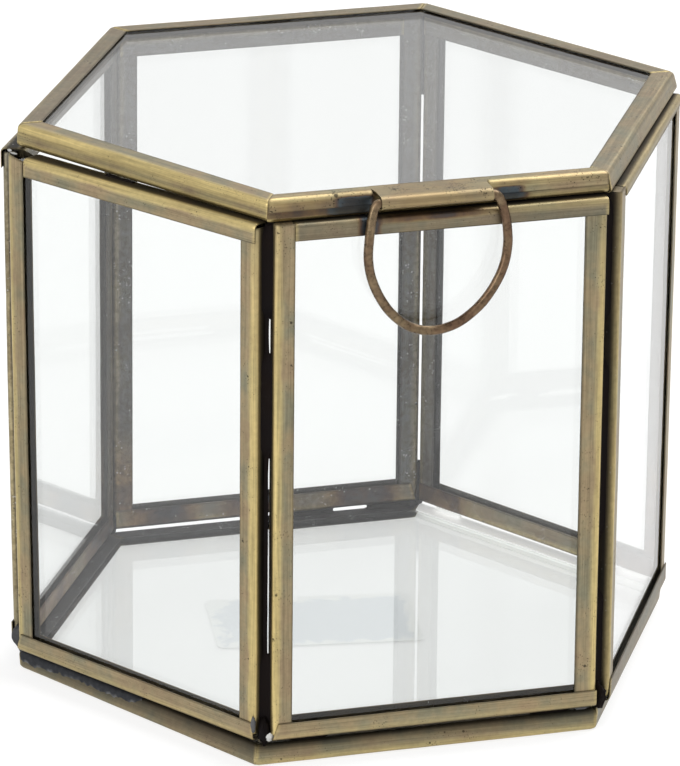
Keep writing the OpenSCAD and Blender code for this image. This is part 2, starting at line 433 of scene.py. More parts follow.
def sheet_piece(piece, section, brass, place, ends, seed, look, wave=1.0, count=44):
    """Adds a bent sheet, swept along its length, to a PieceMesh.

    place(along, x, y) gives a point in the frame, and ends(x, y) gives where the sheet starts and
    stops there.
    """
    rows = section.loop(brass.thickness)
    spans = [ends(row[0], row[1]) for row in rows]
    shares = station_shares(spans[0][1] - spans[0][0], count)
    reach = brass.hand_wave * wave
    vertices = []
    strip, form, state, wear = [], [], [], []
    for share in shares:
        for (x, y, normal_x, normal_y, across, inside), (start, stop) in zip(rows, spans):
            along = start + (stop - start) * share
            from_end = min(along - start, stop - along)
            drawn_in = brass.end_round * (1 - smooth_step(from_end / FILED_REACH))
            if not look.round_ends:
                drawn_in, from_end = 0.0, 1.0 * MM
            x += reach * (wander(along, seed, 17 * MM) + 0.5 * wander(along, seed + 11, 5 * MM))
            y += reach * 0.6 * wander(along, seed + 29, 23 * MM)
            vertices.append(place(along, x - normal_x * drawn_in, y - normal_y * drawn_in))
            stage = section.stage_of(across)
            bend = look.bend_distance(section, across)
            strip.append((along, across, seed * GRAIN_SHIFT))
            edge = min(across, section.length - across)
            # The third value of form is the painted shade there, on the inner face and where the strip's
            # kind puts it.
            form.append((bend, edge, max(INSIDE_SHADE * inside, between(look.painted_shade, stage))))
            state.append((from_end, look.heat_at(along, stage), look.grey))
            rub = look.rub_left + (look.rub_and_highlight_right - look.rub_left) * share ** look.rub_and_highlight_curve
            wear.append((rub * between(look.rub_and_highlight_places, stage), look.end_rub, look.dust))
    size = len(rows)
    faces = []
    for station in range(len(shares) - 1):
        first = station * size
        second = first + size
        for corner in range(size):
            after = (corner + 1) % size
            faces.append((first + corner, first + after, second + after, second + corner))
    outer = len(section.points)
    last = (len(shares) - 1) * size
    caps = [(step, step + 1, 2 * outer - step, 2 * outer + 1 - step) for step in range(outer - 1)]
    caps.append((outer - 1, outer, outer + 1, outer + 2))
    caps.append((0, 2 * outer + 1, 2 * outer + 2, 2 * outer + 3))
    for cap in caps:
        faces.append(cap)
        faces.append(tuple(last + corner for corner in reversed(cap)))
    piece.add(vertices, faces, strip=strip, form=form, state=state, wear=wear)


# ---- How each strip has aged, and where shade and highlights are painted on it ----

# Painted shade across a strip, in grooves, between parts and on faces turned from the light: 0 is its first
# free edge, 1 and 2 are its bends, 3 is its last free edge.
OPEN = ((0, 0), (3, 0))
PAINTED_SHADES = {
    "upright": ((0, 0), (1.13, 0.0), (1.4, 0.8), (1.55, 1), (1.68, 1), (1.83, 0.8), (2.0, 0), (3, 0)),
    "upright_bare": ((0, 0), (1.6, 0.0), (1.7, 1), (1.8, 1), (2.0, 0), (3, 0)),
    "upright_dark": ((0, 0), (0.85, 0.0), (1.2, 0.75), (1.4, 1), (1.68, 1), (1.83, 0.8), (2.0, 0), (3, 0)),
    "wall_top": ((0, 0), (1.05, 0), (1.3, 0.9), (1.7, 0.9), (1.95, 0), (3, 0)),
    "wall_bottom": ((0, 0), (0.9, 0), (1.15, 0.9), (1.85, 0.9), (2.1, 0), (3, 0)),
    "lid": ((0, 0), (1.12, 0), (1.3, 0.3), (1.75, 0.3), (1.9, 0.1), (2.1, 0.1), (2.3, 0.8), (3, 0.8)),
    "lid_pale": ((0, 0), (2.0, 0), (2.3, 0.8), (3, 0.8)),
    "base": ((0, 0.6), (0.8, 0.75), (1.0, 0.8), (1.2, 0.6), (1.4, 0.25), (1.65, 0.0), (3, 0)),
    "base_dark": ((0, 0.6), (0.8, 0.75), (1.0, 0.85), (1.22, 0.7), (1.8, 0.2), (3, 0)),
}
# The lower bend of the base and the bends beside the glass are rubbed and carry a painted highlight; its
# shaded bends carry neither.
RUB_AND_HIGHLIGHT_PLACES = {
    "base": ((0, 0), (1.2, 0), (1.8, 0.8), (3, 0.8)),
    "base_dark": ((0, 0), (1.5, 0), (1.9, 0.4), (3, 0.4)),
    "base_pale": ((0, 0), (3, 0)),
    "wall_bottom": ((0, 0.5), (3, 0.5)),
}
# How far the painted highlight along the rubbed line of a lid strip lies below the middle of its upper
# bend, in millimetres
PAINTED_HIGHLIGHT_SHIFT = {"lid": 0.45, "lid_pale": 0.45}


class Look:
    """How one strip has aged and where light and shade are painted on it: its greyness, rubbed bends with
    their painted highlight, painted shade, dust and heat marks.
    """

    def __init__(self, kind="", grey=0.05, rub=(1.0, 1.0), end_rub=0.0, dust=0.0, heat=(), round_ends=True):
        self.painted_shade = PAINTED_SHADES.get(kind, OPEN)
        self.rub_and_highlight_places = RUB_AND_HIGHLIGHT_PLACES.get(kind, ((0, 1), (3, 1)))
        self.painted_highlight_shift = PAINTED_HIGHLIGHT_SHIFT.get(kind, 0.0) * MM
        self.grey = grey
        self.rub_left, self.rub_and_highlight_right = rub
        self.rub_and_highlight_curve = 4 if kind.startswith("upright") else 1
        self.end_rub = end_rub
        self.dust = dust
        self.heat = heat
        self.round_ends = round_ends

    def bend_distance(self, section, across):
        """How far a place across the strip is from the nearest rubbed line, where the painted highlight
        lies.
        """
        lines = list(section.bends)
        if lines:
            lines[0] += self.painted_highlight_shift
        return min([abs(across - line) for line in lines], default=1.0)

    def heat_at(self, along, stage):
        """0 where it wasn't heated, 0.3 for brown, 0.6 for purple, 0.8 for steel blue and 1 for black."""
        heat = 0.0
        for place, width, level, first, last in self.heat:
            gone = abs(along - place * MM) / (width * MM)
            over = max(first - stage, stage - last, 0.0) / 0.25
            heat = max(heat, level * smooth_step(1.25 - gone) * smooth_step(1 - over))
        return heat


# Heat marks: their place along the strip and half width in millimetres, their heat, and where they
# start and stop across the strip, counted in bends.
HEAT_MARKS = {
    "handle_strip": [
        (-16.5, 4.5, 1.0, 1.3, 2.0),
        (-25.0, 12.0, 0.25, 1.3, 2.0),
        (13.5, 3.5, 0.75, 1.5, 2.0),
        (-16.5, 6.0, 0.2, 0.6, 2.0),
        (14.0, 6.0, 0.25, 0.95, 1.25),
    ],
    "lid_front_strip": [
        (-17.5, 5.5, 1.0, 1.0, 1.8),
        (-26.0, 12.0, 0.4, 1.0, 1.75),
        (13.5, 4.5, 0.9, 1.0, 1.8),
    ],
    # The small dark mark at -14.2 on the front wall's top strip, beside the ring's root, is a painted
    # shadow of the ring, tinted like heat.
    "front_wall_top_strip": [(-2.0, 14.0, 0.45, 0.85, 1.3), (-14.2, 2.2, 0.78, 0.0, 1.4)],
    "back_wall_bottom_strip": [
        (-20.0, 10.0, 0.5, 2.0, 3.0),
        (2.0, 8.0, 0.62, 2.0, 3.0),
        (22.0, 10.0, 0.5, 2.0, 3.0),
    ],
    "back_left_wall_bottom_strip": [(20.0, 34.0, 0.32, 2.0, 3.0), (-26.0, 22.0, 0.5, 2.0, 3.0)],
    "back_right_wall_bottom_strip": [(-26.0, 9.0, 0.45, 2.0, 3.0), (26.0, 11.0, 0.45, 2.0, 3.0)],
    "back_left_wall_right_strip": [(20.0, 12.0, 0.4, 2.0, 3.0), (60.0, 30.0, 0.35, 2.0, 3.0)],
    "back_right_wall_left_strip": [(14.0, 20.0, 0.4, 2.0, 3.0)],
    "back_wall_right_strip": [(12.0, 16.0, 0.3, 2.0, 3.0)],
}
# Rubbing and painted highlight of the strips whose left and right ends differ
RUB_AND_HIGHLIGHT_ENDS = {
    "front_wall_top_strip": (0.0, 0.4),
    "handle_strip": (0.5, 0.15),
    "lid_front_strip": (0.9, 0.5),
}
# Greyness, rubbing with its painted highlight, and dust of the strips whose names start so; the longest
# start that fits is used.
AGES = {
    "": (0.12, 0.85, 0.0),
    "handle_strip": (0.1, 0.4, 0.0),
    "back_wall": (0.62, 0.25, 0.7),
    "back_left_wall": (0.5, 0.35, 0.5),
    "back_right_wall": (0.55, 0.25, 0.6),
    "back_wall_bottom": (0.15, 0.6, 0.6),
    "back_right_wall_bottom": (0.0, 0.75, 0.3),
    "lid_back": (0.35, 0.35, 0.1),
    "lid_back_left": (0.5, 0.3, 0.1),
    "lid_back_right": (0.4, 0.35, 0.1),
    "lid_front_right": (0.28, 0.08, 0.1),
    "lid_front_left": (0.1, 0.9, 0.0),
    "lid_front_strip": (0.1, 0.7, 0.0),
    "base_": (0.15, 0.7, 0.0),
    "base_back": (0.85, 0.0, 0.8),
    "base_front_right": (0.15, 0.0, 0.3),
    "base_front_left": (0.35, 0.35, 0.0),
    "front_wall_top": (0.5, 0.5, 0.0),
    "front_wall_bottom": (0.0, 0.5, 0.0),
    "front_right_wall": (0.15, 0.7, 0.1),
    "front_right_wall_top": (0.4, 0.3, 0.1),
    "front_right_wall_bottom": (0.5, 0.2, 0.2),
}


def look_of(name, kind="", **more):
    """The look of the strip of that name."""
    start = max((start for start in AGES if name.startswith(start)), key=len)
    grey, rub, dust = AGES[start]
    ends = RUB_AND_HIGHLIGHT_ENDS.get(name, (rub, 0.35 * rub if kind.startswith("upright") else rub))
    return Look(kind, grey, ends, dust=dust, heat=HEAT_MARKS.get(name, ()), **more)


# ---- Shader helpers ----

WHITE = (1.0, 1.0, 1.0, 1.0)
BROWNISH_FACES = (0.29, 0.20, 0.125, 1.0)
PALE_FLECKS = (0.62, 0.63, 0.63, 1.0)
# Levels of heat and the colours that brass takes at them: brown, purple, steel blue and blue black
TEMPER_COLOURS = (
    (0.1, (0.26, 0.175, 0.075, 1.0)),
    (0.32, (0.165, 0.098, 0.055, 1.0)),
    (0.52, (0.080, 0.052, 0.045, 1.0)),
    (0.74, (0.036, 0.058, 0.082, 1.0)),
    (1.0, (0.012, 0.020, 0.034, 1.0)),
)
SOLDER_BROWN = (0.012, 0.006, 0.003, 1.0)
SOLDER_BARE = (0.86, 0.86, 0.84, 1.0)
LEAD_DARK = (0.022, 0.024, 0.028, 1.0)
LEAD_PALE = (0.070, 0.073, 0.080, 1.0)
LIGHT_THROUGH_GLASS = (0.97, 0.975, 0.972, 1.0)
FOIL_DULL = (0.83, 0.85, 0.89, 1.0)
FOIL_BRIGHT = (0.89, 0.91, 0.95, 1.0)
FLOOR_GREY = (0.34, 0.34, 0.34, 1.0)


def shader_node(tree, kind, inputs=None, **settings):
    """Adds a node, with each input linked to a socket or set to a value."""
    made = tree.nodes.new(kind)
    for name, value in settings.items():
        setattr(made, name, value)
    for key, value in (inputs or {}).items():
        if isinstance(value, bpy.types.NodeSocket):
            tree.links.new(value, made.inputs[key])
        else:
            made.inputs[key].default_value = value
    made.location = (220 * (len(tree.nodes) % 9), -260 * (len(tree.nodes) // 9))
    return made


def maths(tree, operation, first, second, clamp=False):
    node = shader_node(tree, "ShaderNodeMath", {0: first, 1: second}, operation=operation, use_clamp=clamp)
    return node.outputs[0]


def times(tree, first, second):
    return maths(tree, "MULTIPLY", first, second)


def larger(tree, first, second):
    return maths(tree, "MAXIMUM", first, second)


def ramp(tree, value, low, high, out_low=0.0, out_high=1.0):
    """value taken smoothly from low..high to out_low..out_high."""
    node = shader_node(
        tree,
        "ShaderNodeMapRange",
        {"Value": value, "From Min": low, "From Max": high, "To Min": out_low, "To Max": out_high},
        interpolation_type="SMOOTHSTEP",
    )
    return node.outputs["Result"]


def mix_colour(tree, share, first, second, blend="MIX"):
    """A mix of two colours; its sockets go by number, because their names come more than once."""
    node = shader_node(
        tree, "ShaderNodeMix", {0: share, 6: first, 7: second}, data_type="RGBA", blend_type=blend
    )
    return node.outputs[2]


def dimmed(tree, colour, value):
    """A colour times a value, which may be above 1."""
    return mix_colour(tree, 1.0, colour, grey_of(tree, value), "MULTIPLY")


def noise_value(tree, place, scale, detail=3.0, roughness=0.55):
    inputs = {"Vector": place, "Scale": scale, "Detail": detail, "Roughness": roughness}
    return shader_node(tree, "ShaderNodeTexNoise", inputs).outputs["Fac"]


def attribute(tree, name):
    return shader_node(tree, "ShaderNodeAttribute", attribute_name=name).outputs["Vector"]


def split(tree, vector):
    node = shader_node(tree, "ShaderNodeSeparateXYZ", {0: vector})
    return node.outputs[0], node.outputs[1], node.outputs[2]


def new_group(name, place_name, value_name, default, outputs):
    """An empty node group with a place and a value coming in, and these (name, type) sockets going out."""
    tree = bpy.data.node_groups.new(name, "ShaderNodeTree")
    tree.interface.new_socket(name=place_name, in_out="INPUT", socket_type="NodeSocketVector")
    value = tree.interface.new_socket(name=value_name, in_out="INPUT", socket_type="NodeSocketFloat")
    value.default_value = default
    for socket_name, kind in outputs:
        tree.interface.new_socket(name=socket_name, in_out="OUTPUT", socket_type=kind)
    entry = shader_node(tree, "NodeGroupInput").outputs
    leave = shader_node(tree, "NodeGroupOutput")
    return tree, entry[place_name], entry[value_name], leave


def group_outputs(tree, name, build, inputs):
    """The outputs of the node group of that name, which is built the first time that it is asked for."""
    group = bpy.data.node_groups.get(name) or build(name)
    return shader_node(tree, "ShaderNodeGroup", inputs, node_tree=group).outputs


def build_drawn_grain(name):
    """Fine lines that run along a strip of drawn sheet."""
    tree, strip, lines, leave = new_group(name, "Strip", "Lines", 1.0, [("Grain", "NodeSocketFloat")])

    def streaks(stretch, detail):
        """Noise of that scale along the strip, across it and from seed to seed."""
        node = shader_node(tree, "ShaderNodeVectorMath", {0: strip, 1: stretch}, operation="MULTIPLY")
        return noise_value(tree, node.outputs[0], lines, detail)

    fine = streaks((90.0, 4200.0, 900.0), 2.0)
    wide = streaks((35.0, 1300.0, 500.0), 1.0)
    both = maths(tree, "ADD", times(tree, fine, 0.6), times(tree, wide, 0.4))
    tree.links.new(both, leave.inputs["Grain"])
    return tree


def build_patina(name):
    """Cloudy patches, small dark specks and pale flecks of an aged finish."""
    names = ("Cloud", "Mottle", "Specks", "Flecks")
    outputs = [(output, "NodeSocketFloat") for output in names]
    tree, place, amount, leave = new_group(name, "Place", "Speck Amount", 0.5, outputs)
    cloud = noise_value(tree, place, 110.0, detail=4.0, roughness=0.6)
    mottle = noise_value(tree, place, 900.0, detail=3.0, roughness=0.65)
    size = noise_value(tree, place, 260.0, detail=2.0)
    few = times(tree, ramp(tree, size, 0.52, 0.75, 0.0, 0.34), amount)
    many = times(tree, ramp(tree, size, 0.35, 0.7, 0.0, 0.36), amount)
    scattered = times(tree, ramp(tree, size, 0.41, 0.7, 0.0, 0.42), amount)
    specks = larger(tree, dots(tree, place, 620.0, few), dots(tree, place, 2100.0, many))
    flecks = dots(tree, place, 1300.0, scattered)
    for output, value in zip(names, (cloud, mottle, specks, flecks)):
        tree.links.new(value, leave.inputs[output])
    return tree


def dots(tree, place, scale, reach):
    """1 inside small scattered dots, with a soft rim; reach is their radius as a share of their cell."""
    cells = shader_node(tree, "ShaderNodeTexVoronoi", {"Vector": place, "Scale": scale}, feature="F1")
    inner = times(tree, reach, 0.5)
    outer = maths(tree, "ADD", reach, 0.001)
    outside = ramp(tree, cells.outputs["Distance"], inner, outer)
    return maths(tree, "SUBTRACT", 1.0, outside, clamp=True)


def build_heat_tint(name):
    """Temper colours of heated brass: brown, purple, steel blue and blue black."""
    outputs = [("Tint", "NodeSocketColor"), ("Share", "NodeSocketFloat")]
    tree, place, heat, leave = new_group(name, "Place", "Heat", 0.0, outputs)
    drift = noise_value(tree, place, 170.0, detail=4.0, roughness=0.65)
    level = maths(tree, "ADD", heat, ramp(tree, drift, 0.3, 0.7, -0.17, 0.17))
    colours = shader_node(tree, "ShaderNodeValToRGB", {"Fac": level})
    coolest, *between_them, hottest = TEMPER_COLOURS
    stops = colours.color_ramp.elements
    stops[0].position, stops[0].color = coolest
    stops[1].position, stops[1].color = hottest
    for position, colour in between_them:
        stops.new(position).color = colour
    share = times(tree, ramp(tree, heat, 0.02, 0.4), 0.88)
    tree.links.new(colours.outputs["Color"], leave.inputs["Tint"])
    tree.links.new(share, leave.inputs["Share"])
    return tree


def build_dust(name):
    """Fine specks of dust on glass."""
    tree, place, amount, leave = new_group(name, "Place", "Amount", 0.5, [("Dust", "NodeSocketFloat")])
    where = noise_value(tree, place, 60.0, detail=2.0)
    reach = times(tree, ramp(tree, where, 0.5, 0.8, 0.0, 0.22), amount)
    tree.links.new(dots(tree, place, 900.0, reach), leave.inputs["Dust"])
    return tree


def material_named(name, build, *settings, **more):
    """The material of that name, built the first time that it is asked for."""
    return bpy.data.materials.get(name) or build(name, *settings, **more)


def new_material(name, colour):
    """An empty node material with that colour in the solid view, and its node tree."""
    material = bpy.data.materials.new(name)
    material.use_nodes = True
    material.node_tree.nodes.clear()
    material.diffuse_color = colour
    return material, material.node_tree


def object_place(tree):
    return shader_node(tree, "ShaderNodeTexCoord").outputs["Object"]


def patina_of(tree, place, speck_amount):
    inputs = {"Place": place, "Speck Amount": speck_amount}
    return group_outputs(tree, "Casket Patina", build_patina, inputs)


def close_surface(tree, shader):
    shader_node(tree, "ShaderNodeOutputMaterial", {"Surface": shader})


def bumped_surface(tree, height, strength, depth, inputs):
    """Ends a material in a Principled surface, with a bump of that depth."""
    bump = shader_node(
        tree, "ShaderNodeBump", {"Strength": strength, "Distance": depth, "Height": height}
    )
    inputs = {**inputs, "Normal": bump.outputs["Normal"]}
    close_surface(tree, shader_node(tree, "ShaderNodeBsdfPrincipled", inputs).outputs[0])


def antique_brass(name, brass, worn=0.0, speck_amount=0.8):
    """Antique brass strip: rubbed gold with a painted highlight on the bends, olive faces, painted shade in
    the grooves and on inner faces, specks and heat marks.

    worn is how much of the faces is rubbed through as well.
    """
    material, tree = new_material(name, brass.faces)
    place = object_place(tree)
    strip = attribute(tree, "strip")
    bend, edge, painted_shade = split(tree, attribute(tree, "form"))
    from_end, heat, grey = split(tree, attribute(tree, "state"))
    rub_and_highlight_share, end_rub, dusty = split(tree, attribute(tree, "wear"))
    patina = patina_of(tree, place, speck_amount)
    grain = group_outputs(tree, "Casket Drawn Grain", build_drawn_grain, {"Strip": strip})["Grain"]
    tint = group_outputs(tree, "Casket Heat Tint", build_heat_tint, {"Place": place, "Heat": heat})
    cloud, mottle = patina["Cloud"], patina["Mottle"]

    # The aged faces, with a bluish crust where they are dusty
    faces = mix_colour(tree, ramp(tree, cloud, 0.42, 0.68), tuple(brass.faces), tuple(brass.greenish))
    brownish = ramp(tree, cloud, 0.5, 0.3, 0.0, 0.5)
    faces = mix_colour(tree, brownish, faces, BROWNISH_FACES)
    faces = mix_colour(tree, grey, faces, tuple(brass.slate))
    bluish = times(tree, ramp(tree, mottle, 0.3, 0.6, 0.3, 1.0), dusty)
    faces = mix_colour(tree, bluish, faces, tuple(brass.crust))

    # Brass that is rubbed bare along the bends and at the ends, where it is also a painted highlight, and,
    # on a worn strip, in patches
    wide = ramp(tree, cloud, 0.3, 0.7, 1.4 * MM, 2.3 * MM)
    rub = times(tree, ramp(tree, bend, 0.45 * MM, wide, 1.0, 0.0), rub_and_highlight_share)
    corner = ramp(tree, from_end, 0.1 * MM, 0.9 * MM, 1.0, 0.0)
    rub = larger(tree, rub, times(tree, corner, end_rub))
    rub = larger(tree, rub, ramp(tree, cloud, 0.35, 0.6, 0.0, worn))
    rub = times(tree, rub, ramp(tree, grain, 0.3, 0.62, 0.8, 1.0))
    colour = mix_colour(tree, rub, faces, tuple(brass.rubbed))

    # Grain and stains, the tint of heat, and patches of crust
    colour = dimmed(tree, colour, ramp(tree, grain, 0.25, 0.75, 0.74, 1.24))
    colour = dimmed(tree, colour, ramp(tree, mottle, 0.3, 0.7, 0.93, 1.06))
    colour = mix_colour(tree, tint["Share"], colour, tint["Tint"])
    patches = maths(tree, "ADD", mottle, times(tree, cloud, 0.6))
    crusty = times(tree, ramp(tree, patches, 0.62, 0.95, -0.5, 0.35), dusty)
    colour = dimmed(tree, colour, maths(tree, "ADD", crusty, 1.0))

    # Dark edges, ends and specks, painted shade on inner faces and in the grooves, and pale flecks on top
    end_dark = ramp(tree, from_end, 0.0, 0.5 * MM, 1.0, 0.0)
    end_dark = times(tree, end_dark, maths(tree, "SUBTRACT", 0.5, end_rub, clamp=True))
    shade = larger(tree, ramp(tree, edge, 0.03 * MM, 0.3 * MM, 0.4, 0.0), end_dark)
    shade = larger(tree, shade, times(tree, patina["Specks"], 0.75))
    shade = larger(tree, shade, times(tree, painted_shade, 0.96))
    # The colour of the painted shade, between the two shade colours by the cloud
    dark = mix_colour(tree, ramp(tree, cloud, 0.3, 0.7), tuple(brass.painted_shade_and_specks), tuple(brass.groove))
    colour = mix_colour(tree, shade, colour, dark)
    pale = times(tree, patina["Flecks"], dusty)
    colour = mix_colour(tree, pale, colour, PALE_FLECKS)

    rough = ramp(tree, grain, 0.2, 0.8, 0.38, 0.52)
    rough = maths(tree, "SUBTRACT", rough, times(tree, rub, 0.08))
    rough = maths(tree, "ADD", rough, times(tree, shade, 0.15))
    height = maths(tree, "ADD", times(tree, grain, 0.7), times(tree, mottle, 0.3))
    metallic = maths(tree, "SUBTRACT", 0.92, pale, clamp=True)
    finish = {"Base Color": colour, "Metallic": metallic, "Roughness": rough}
    bumped_surface(tree, height, 0.4, 0.04 * MM, finish)
    return material


def grey_of(tree, value):
    """A grey colour of that value, which may be above 1."""
    return shader_node(tree, "ShaderNodeCombineColor", {0: value, 1: value, 2: value}).outputs[0]


def browned_wire(name, handle, brass):
    """Wire of the ring and the pin: copper brown, with paler rubbed stretches."""
    material, tree = new_material(name, handle.wire)
    patina = patina_of(tree, object_place(tree), 0.6)
    patches = ramp(tree, patina["Cloud"], 0.38, 0.62)
    colour = mix_colour(tree, patches, tuple(handle.wire), tuple(handle.wire_rubbed))
    colour = dimmed(tree, colour, ramp(tree, patina["Mottle"], 0.3, 0.7, 0.65, 1.3))
    colour = mix_colour(tree, times(tree, patina["Specks"], 0.8), colour, tuple(brass.painted_shade_and_specks))
    rough = ramp(tree, patina["Mottle"], 0.3, 0.7, 0.24, 0.42)
    finish = {"Base Color": colour, "Metallic": 0.9, "Roughness": rough}
    bumped_surface(tree, patina["Mottle"], 0.35, 0.04 * MM, finish)
    return material


def tarnished_solder(name, brass):
    """Solder: blue black where it was blackened, with silvery bare spots, and tinned stretches that are
    brightened by a painted glow.
    """
    material, tree = new_material(name, (0.05, 0.055, 0.065, 1.0))
    bare, leaden, painted_glow = split(tree, attribute(tree, "metal"))
    patina = patina_of(tree, object_place(tree), 0.3)
    spots = larger(tree, ramp(tree, patina["Mottle"], 0.62, 0.72, 0.0, 0.006), bare)
    dull = mix_colour(tree, patina["Cloud"], tuple(brass.groove), SOLDER_BROWN)
    lead = mix_colour(tree, patina["Mottle"], LEAD_DARK, LEAD_PALE)
    dull = mix_colour(tree, leaden, dull, lead)
    colour = mix_colour(tree, spots, dull, SOLDER_BARE)
    finish = {
        "Base Color": colour,
        "Metallic": maths(tree, "SUBTRACT", 0.85, times(tree, bare, 0.7)),
        # Painted glow of the tinned stretches
        "Roughness": ramp(tree, spots, 0.0, 1.0, 0.7, 0.4),
        "Emission Color": grey_of(tree, painted_glow),
        "Emission Strength": 1.0,
    }
    bumped_surface(tree, patina["Mottle"], 0.5, 0.08 * MM, finish)
    return material


def clear_glass(name, glass):
    """Window glass with a little dust, which lets lamps and soft light through."""
    material, tree = new_material(name, (0.85, 0.9, 0.9, 0.3))
    inputs = {"Place": object_place(tree), "Amount": 0.5}
    dust = group_outputs(tree, "Casket Dust", build_dust, inputs)["Dust"]
    finish = {
        "Base Color": tuple(glass.tint),
        "Metallic": 0.0,
        "Roughness": times(tree, dust, 0.5),
        "IOR": 1.5,
        "Transmission Weight": 1.0,
    }
    pane = shader_node(tree, "ShaderNodeBsdfPrincipled", finish)
    through = shader_node(tree, "ShaderNodeBsdfTransparent", {"Color": LIGHT_THROUGH_GLASS})
    path = shader_node(tree, "ShaderNodeLightPath").outputs
    soft = larger(tree, path["Is Shadow Ray"], path["Is Diffuse Ray"])
    mixed = shader_node(tree, "ShaderNodeMixShader", {0: soft, 1: pane.outputs[0], 2: through.outputs[0]})
    close_surface(tree, mixed.outputs[0])
    return material


def sticker_paper(name):
    """The blank silvery sticker, with whitish margins where its glue didn't take."""
    material, tree = new_material(name, (0.7, 0.72, 0.74, 1.0))
    place = object_place(tree)
    margin = split(tree, attribute(tree, "form"))[0]
    drift = noise_value(tree, place, 210.0, detail=5.0, roughness=0.7)
    reach = ramp(tree, drift, 0.36, 0.66, 0.15 * MM, 3.8 * MM)
    glued = maths(tree, "GREATER_THAN", margin, reach)
    fine = noise_value(tree, place, 1500.0, detail=2.0)
    silver = mix_colour(tree, fine, FOIL_DULL, FOIL_BRIGHT)
    colour = mix_colour(tree, glued, WHITE, silver)
    finish = {
        "Base Color": colour,
        "Metallic": 0.0,
        "Roughness": ramp(tree, fine, 0.2, 0.8, 0.45, 0.7),
        # A faint painted glow, which keeps the sticker pale in the shade under the base pane
        "Emission Color": colour,
        "Emission Strength": 0.09,
    }
    bumped_surface(tree, fine, 0.3, 0.05 * MM, finish)
    return material


# ---- Operators: the pieces ----


class CASKET_OT_wall_strips(Operator):
    """Make the four folded brass strips of each wall"""

    bl_idname = "casket.wall_strips"
    bl_label = "Wall Strips"

    def execute(self, context):
        brass = context.scene.casket_brass
        material = material_named("Antique brass", antique_brass, brass)
        for index, side in enumerate(SIDES):
            seed = context.scene.casket_stage.seed + 10 * index
            self.upright(f"{side}_wall_left_strip", index, -1, seed + 1, brass, material)
            self.upright(f"{side}_wall_right_strip", index, 1, seed + 2, brass, material)
            self.rail(f"{side}_wall_bottom_strip", index, False, seed + 3, brass, material)
            self.rail(f"{side}_wall_top_strip", index, True, seed + 4, brass, material)
        return {"FINISHED"}

    def upright(self, name, index, hand, seed, brass, material):
        """hand is -1 for the left strip, which runs to the top, and 1 for the right one."""
        top = UPRIGHT_HIGH.z if hand < 0 else SHORT_UPRIGHT_TOP
        slant = SLANTED_CUTS.get(name, 0.0) * MM

        def place(along, x, y):
            y -= cut_back(name, x, y)
            return turned(Vector((hand * (WALL_HALF - y), -WALL_MID - x, along)), index)

        def ends(x, y):
            return UPRIGHT_LOW.z, top - slant * y / LIP_WIDTH

        piece = PieceMesh()
        section = channel_section(UNDER_DEPTH, LIP_WIDTH, brass)
        look = look_of(name, ODD_KINDS.get(name, "upright"))
        sheet_piece(piece, section, brass, place, ends, seed, look, count=60)
        if hand < 0 and not slant:
            self.closed_end(piece, place, top, seed, look, brass)
        piece.settle().make(name, material, "box", "antique_brass", [name])

    def closed_end(self, piece, place, top, seed, look, brass):
        """The tongue that is folded over the open end of an upright."""
        margin = brass.thickness + 0.03 * MM
        half = UNDER_DEPTH / 2 - margin
        vertices, faces = bevelled_block(
            (-half, margin, -brass.thickness), (half, LIP_WIDTH - margin, 0.0), 0.08 * MM
        )
        placed = [place(top - 0.05 * MM + z, x, y) for x, y, z in vertices]
        count = len(vertices)
        piece.add(
            placed,
            faces,
            strip=[(x, y, seed * GRAIN_SHIFT) for x, y, z in vertices],
            # The tongue gets a quarter of the full painted shade.
            form=[(1.0 * MM, half - abs(x), 0.25) for x, y, z in vertices],
            state=[(1.0 * MM, 0.0, look.grey)] * count,
            wear=[(0.0, 0.0, look.dust)] * count,
        )

    def rail(self, name, index, is_top, seed, brass, material):
        """The bottom strip laps over both uprights, and the top strip over the right one."""
        start = TOP_RAIL_START if is_top else -WALL_HALF
        slit = brass.corner_slit / 2 / math.cos(HALF_TURN)
        lower = LOW_RAILS.get(name, 0.0) * MM
        start += LATE_STARTS.get(name, 0.0) * MM

        def place(along, x, y):
            y -= cut_back(name, x, y)
            height = WALL_TOP - y if is_top else WALL_BOTTOM + y - lower
            return turned(Vector((along, -WALL_MID - x, height)), index)

        def ends(x, y):
            corner = min(WALL_HALF, (WALL_MID + x) * math.tan(HALF_TURN) - slit)
            slant = 0.0 if is_top else RAIL_SLANT * y
            return max(start, -corner) + slant, corner

        piece = PieceMesh()
        section = channel_section(OVER_DEPTH, LIP_WIDTH, brass)
        look = look_of(name, "wall_top" if is_top else "wall_bottom", end_rub=0.4)
        sheet_piece(piece, section, brass, place, ends, seed, look)
        piece.settle().make(name, material, "box", "antique_brass", [name])


def two_skins(lines, points):
    """Faces of a thin sheet: two skins of lines + 1 lines with points + 1 points each, and their rim."""
    size = (lines + 1) * (points + 1)
    faces = []
    for line in range(lines):
        for point in range(points):
            first = line * (points + 1) + point
            quad = (first, first + 1, first + points + 2, first + points + 1)
            faces.append(quad)
            faces.append(tuple(size + corner for corner in reversed(quad)))
    rim = list(range(points + 1))
    rim += [(line + 1) * (points + 1) + points for line in range(lines)]
    rim += [lines * (points + 1) + point for point in reversed(range(points))]
    rim += [line * (points + 1) for line in reversed(range(1, lines))]
    for corner, after in zip(rim, rim[1:] + rim[:1]):
        faces.append((corner, size + corner, size + after, after))
    return faces


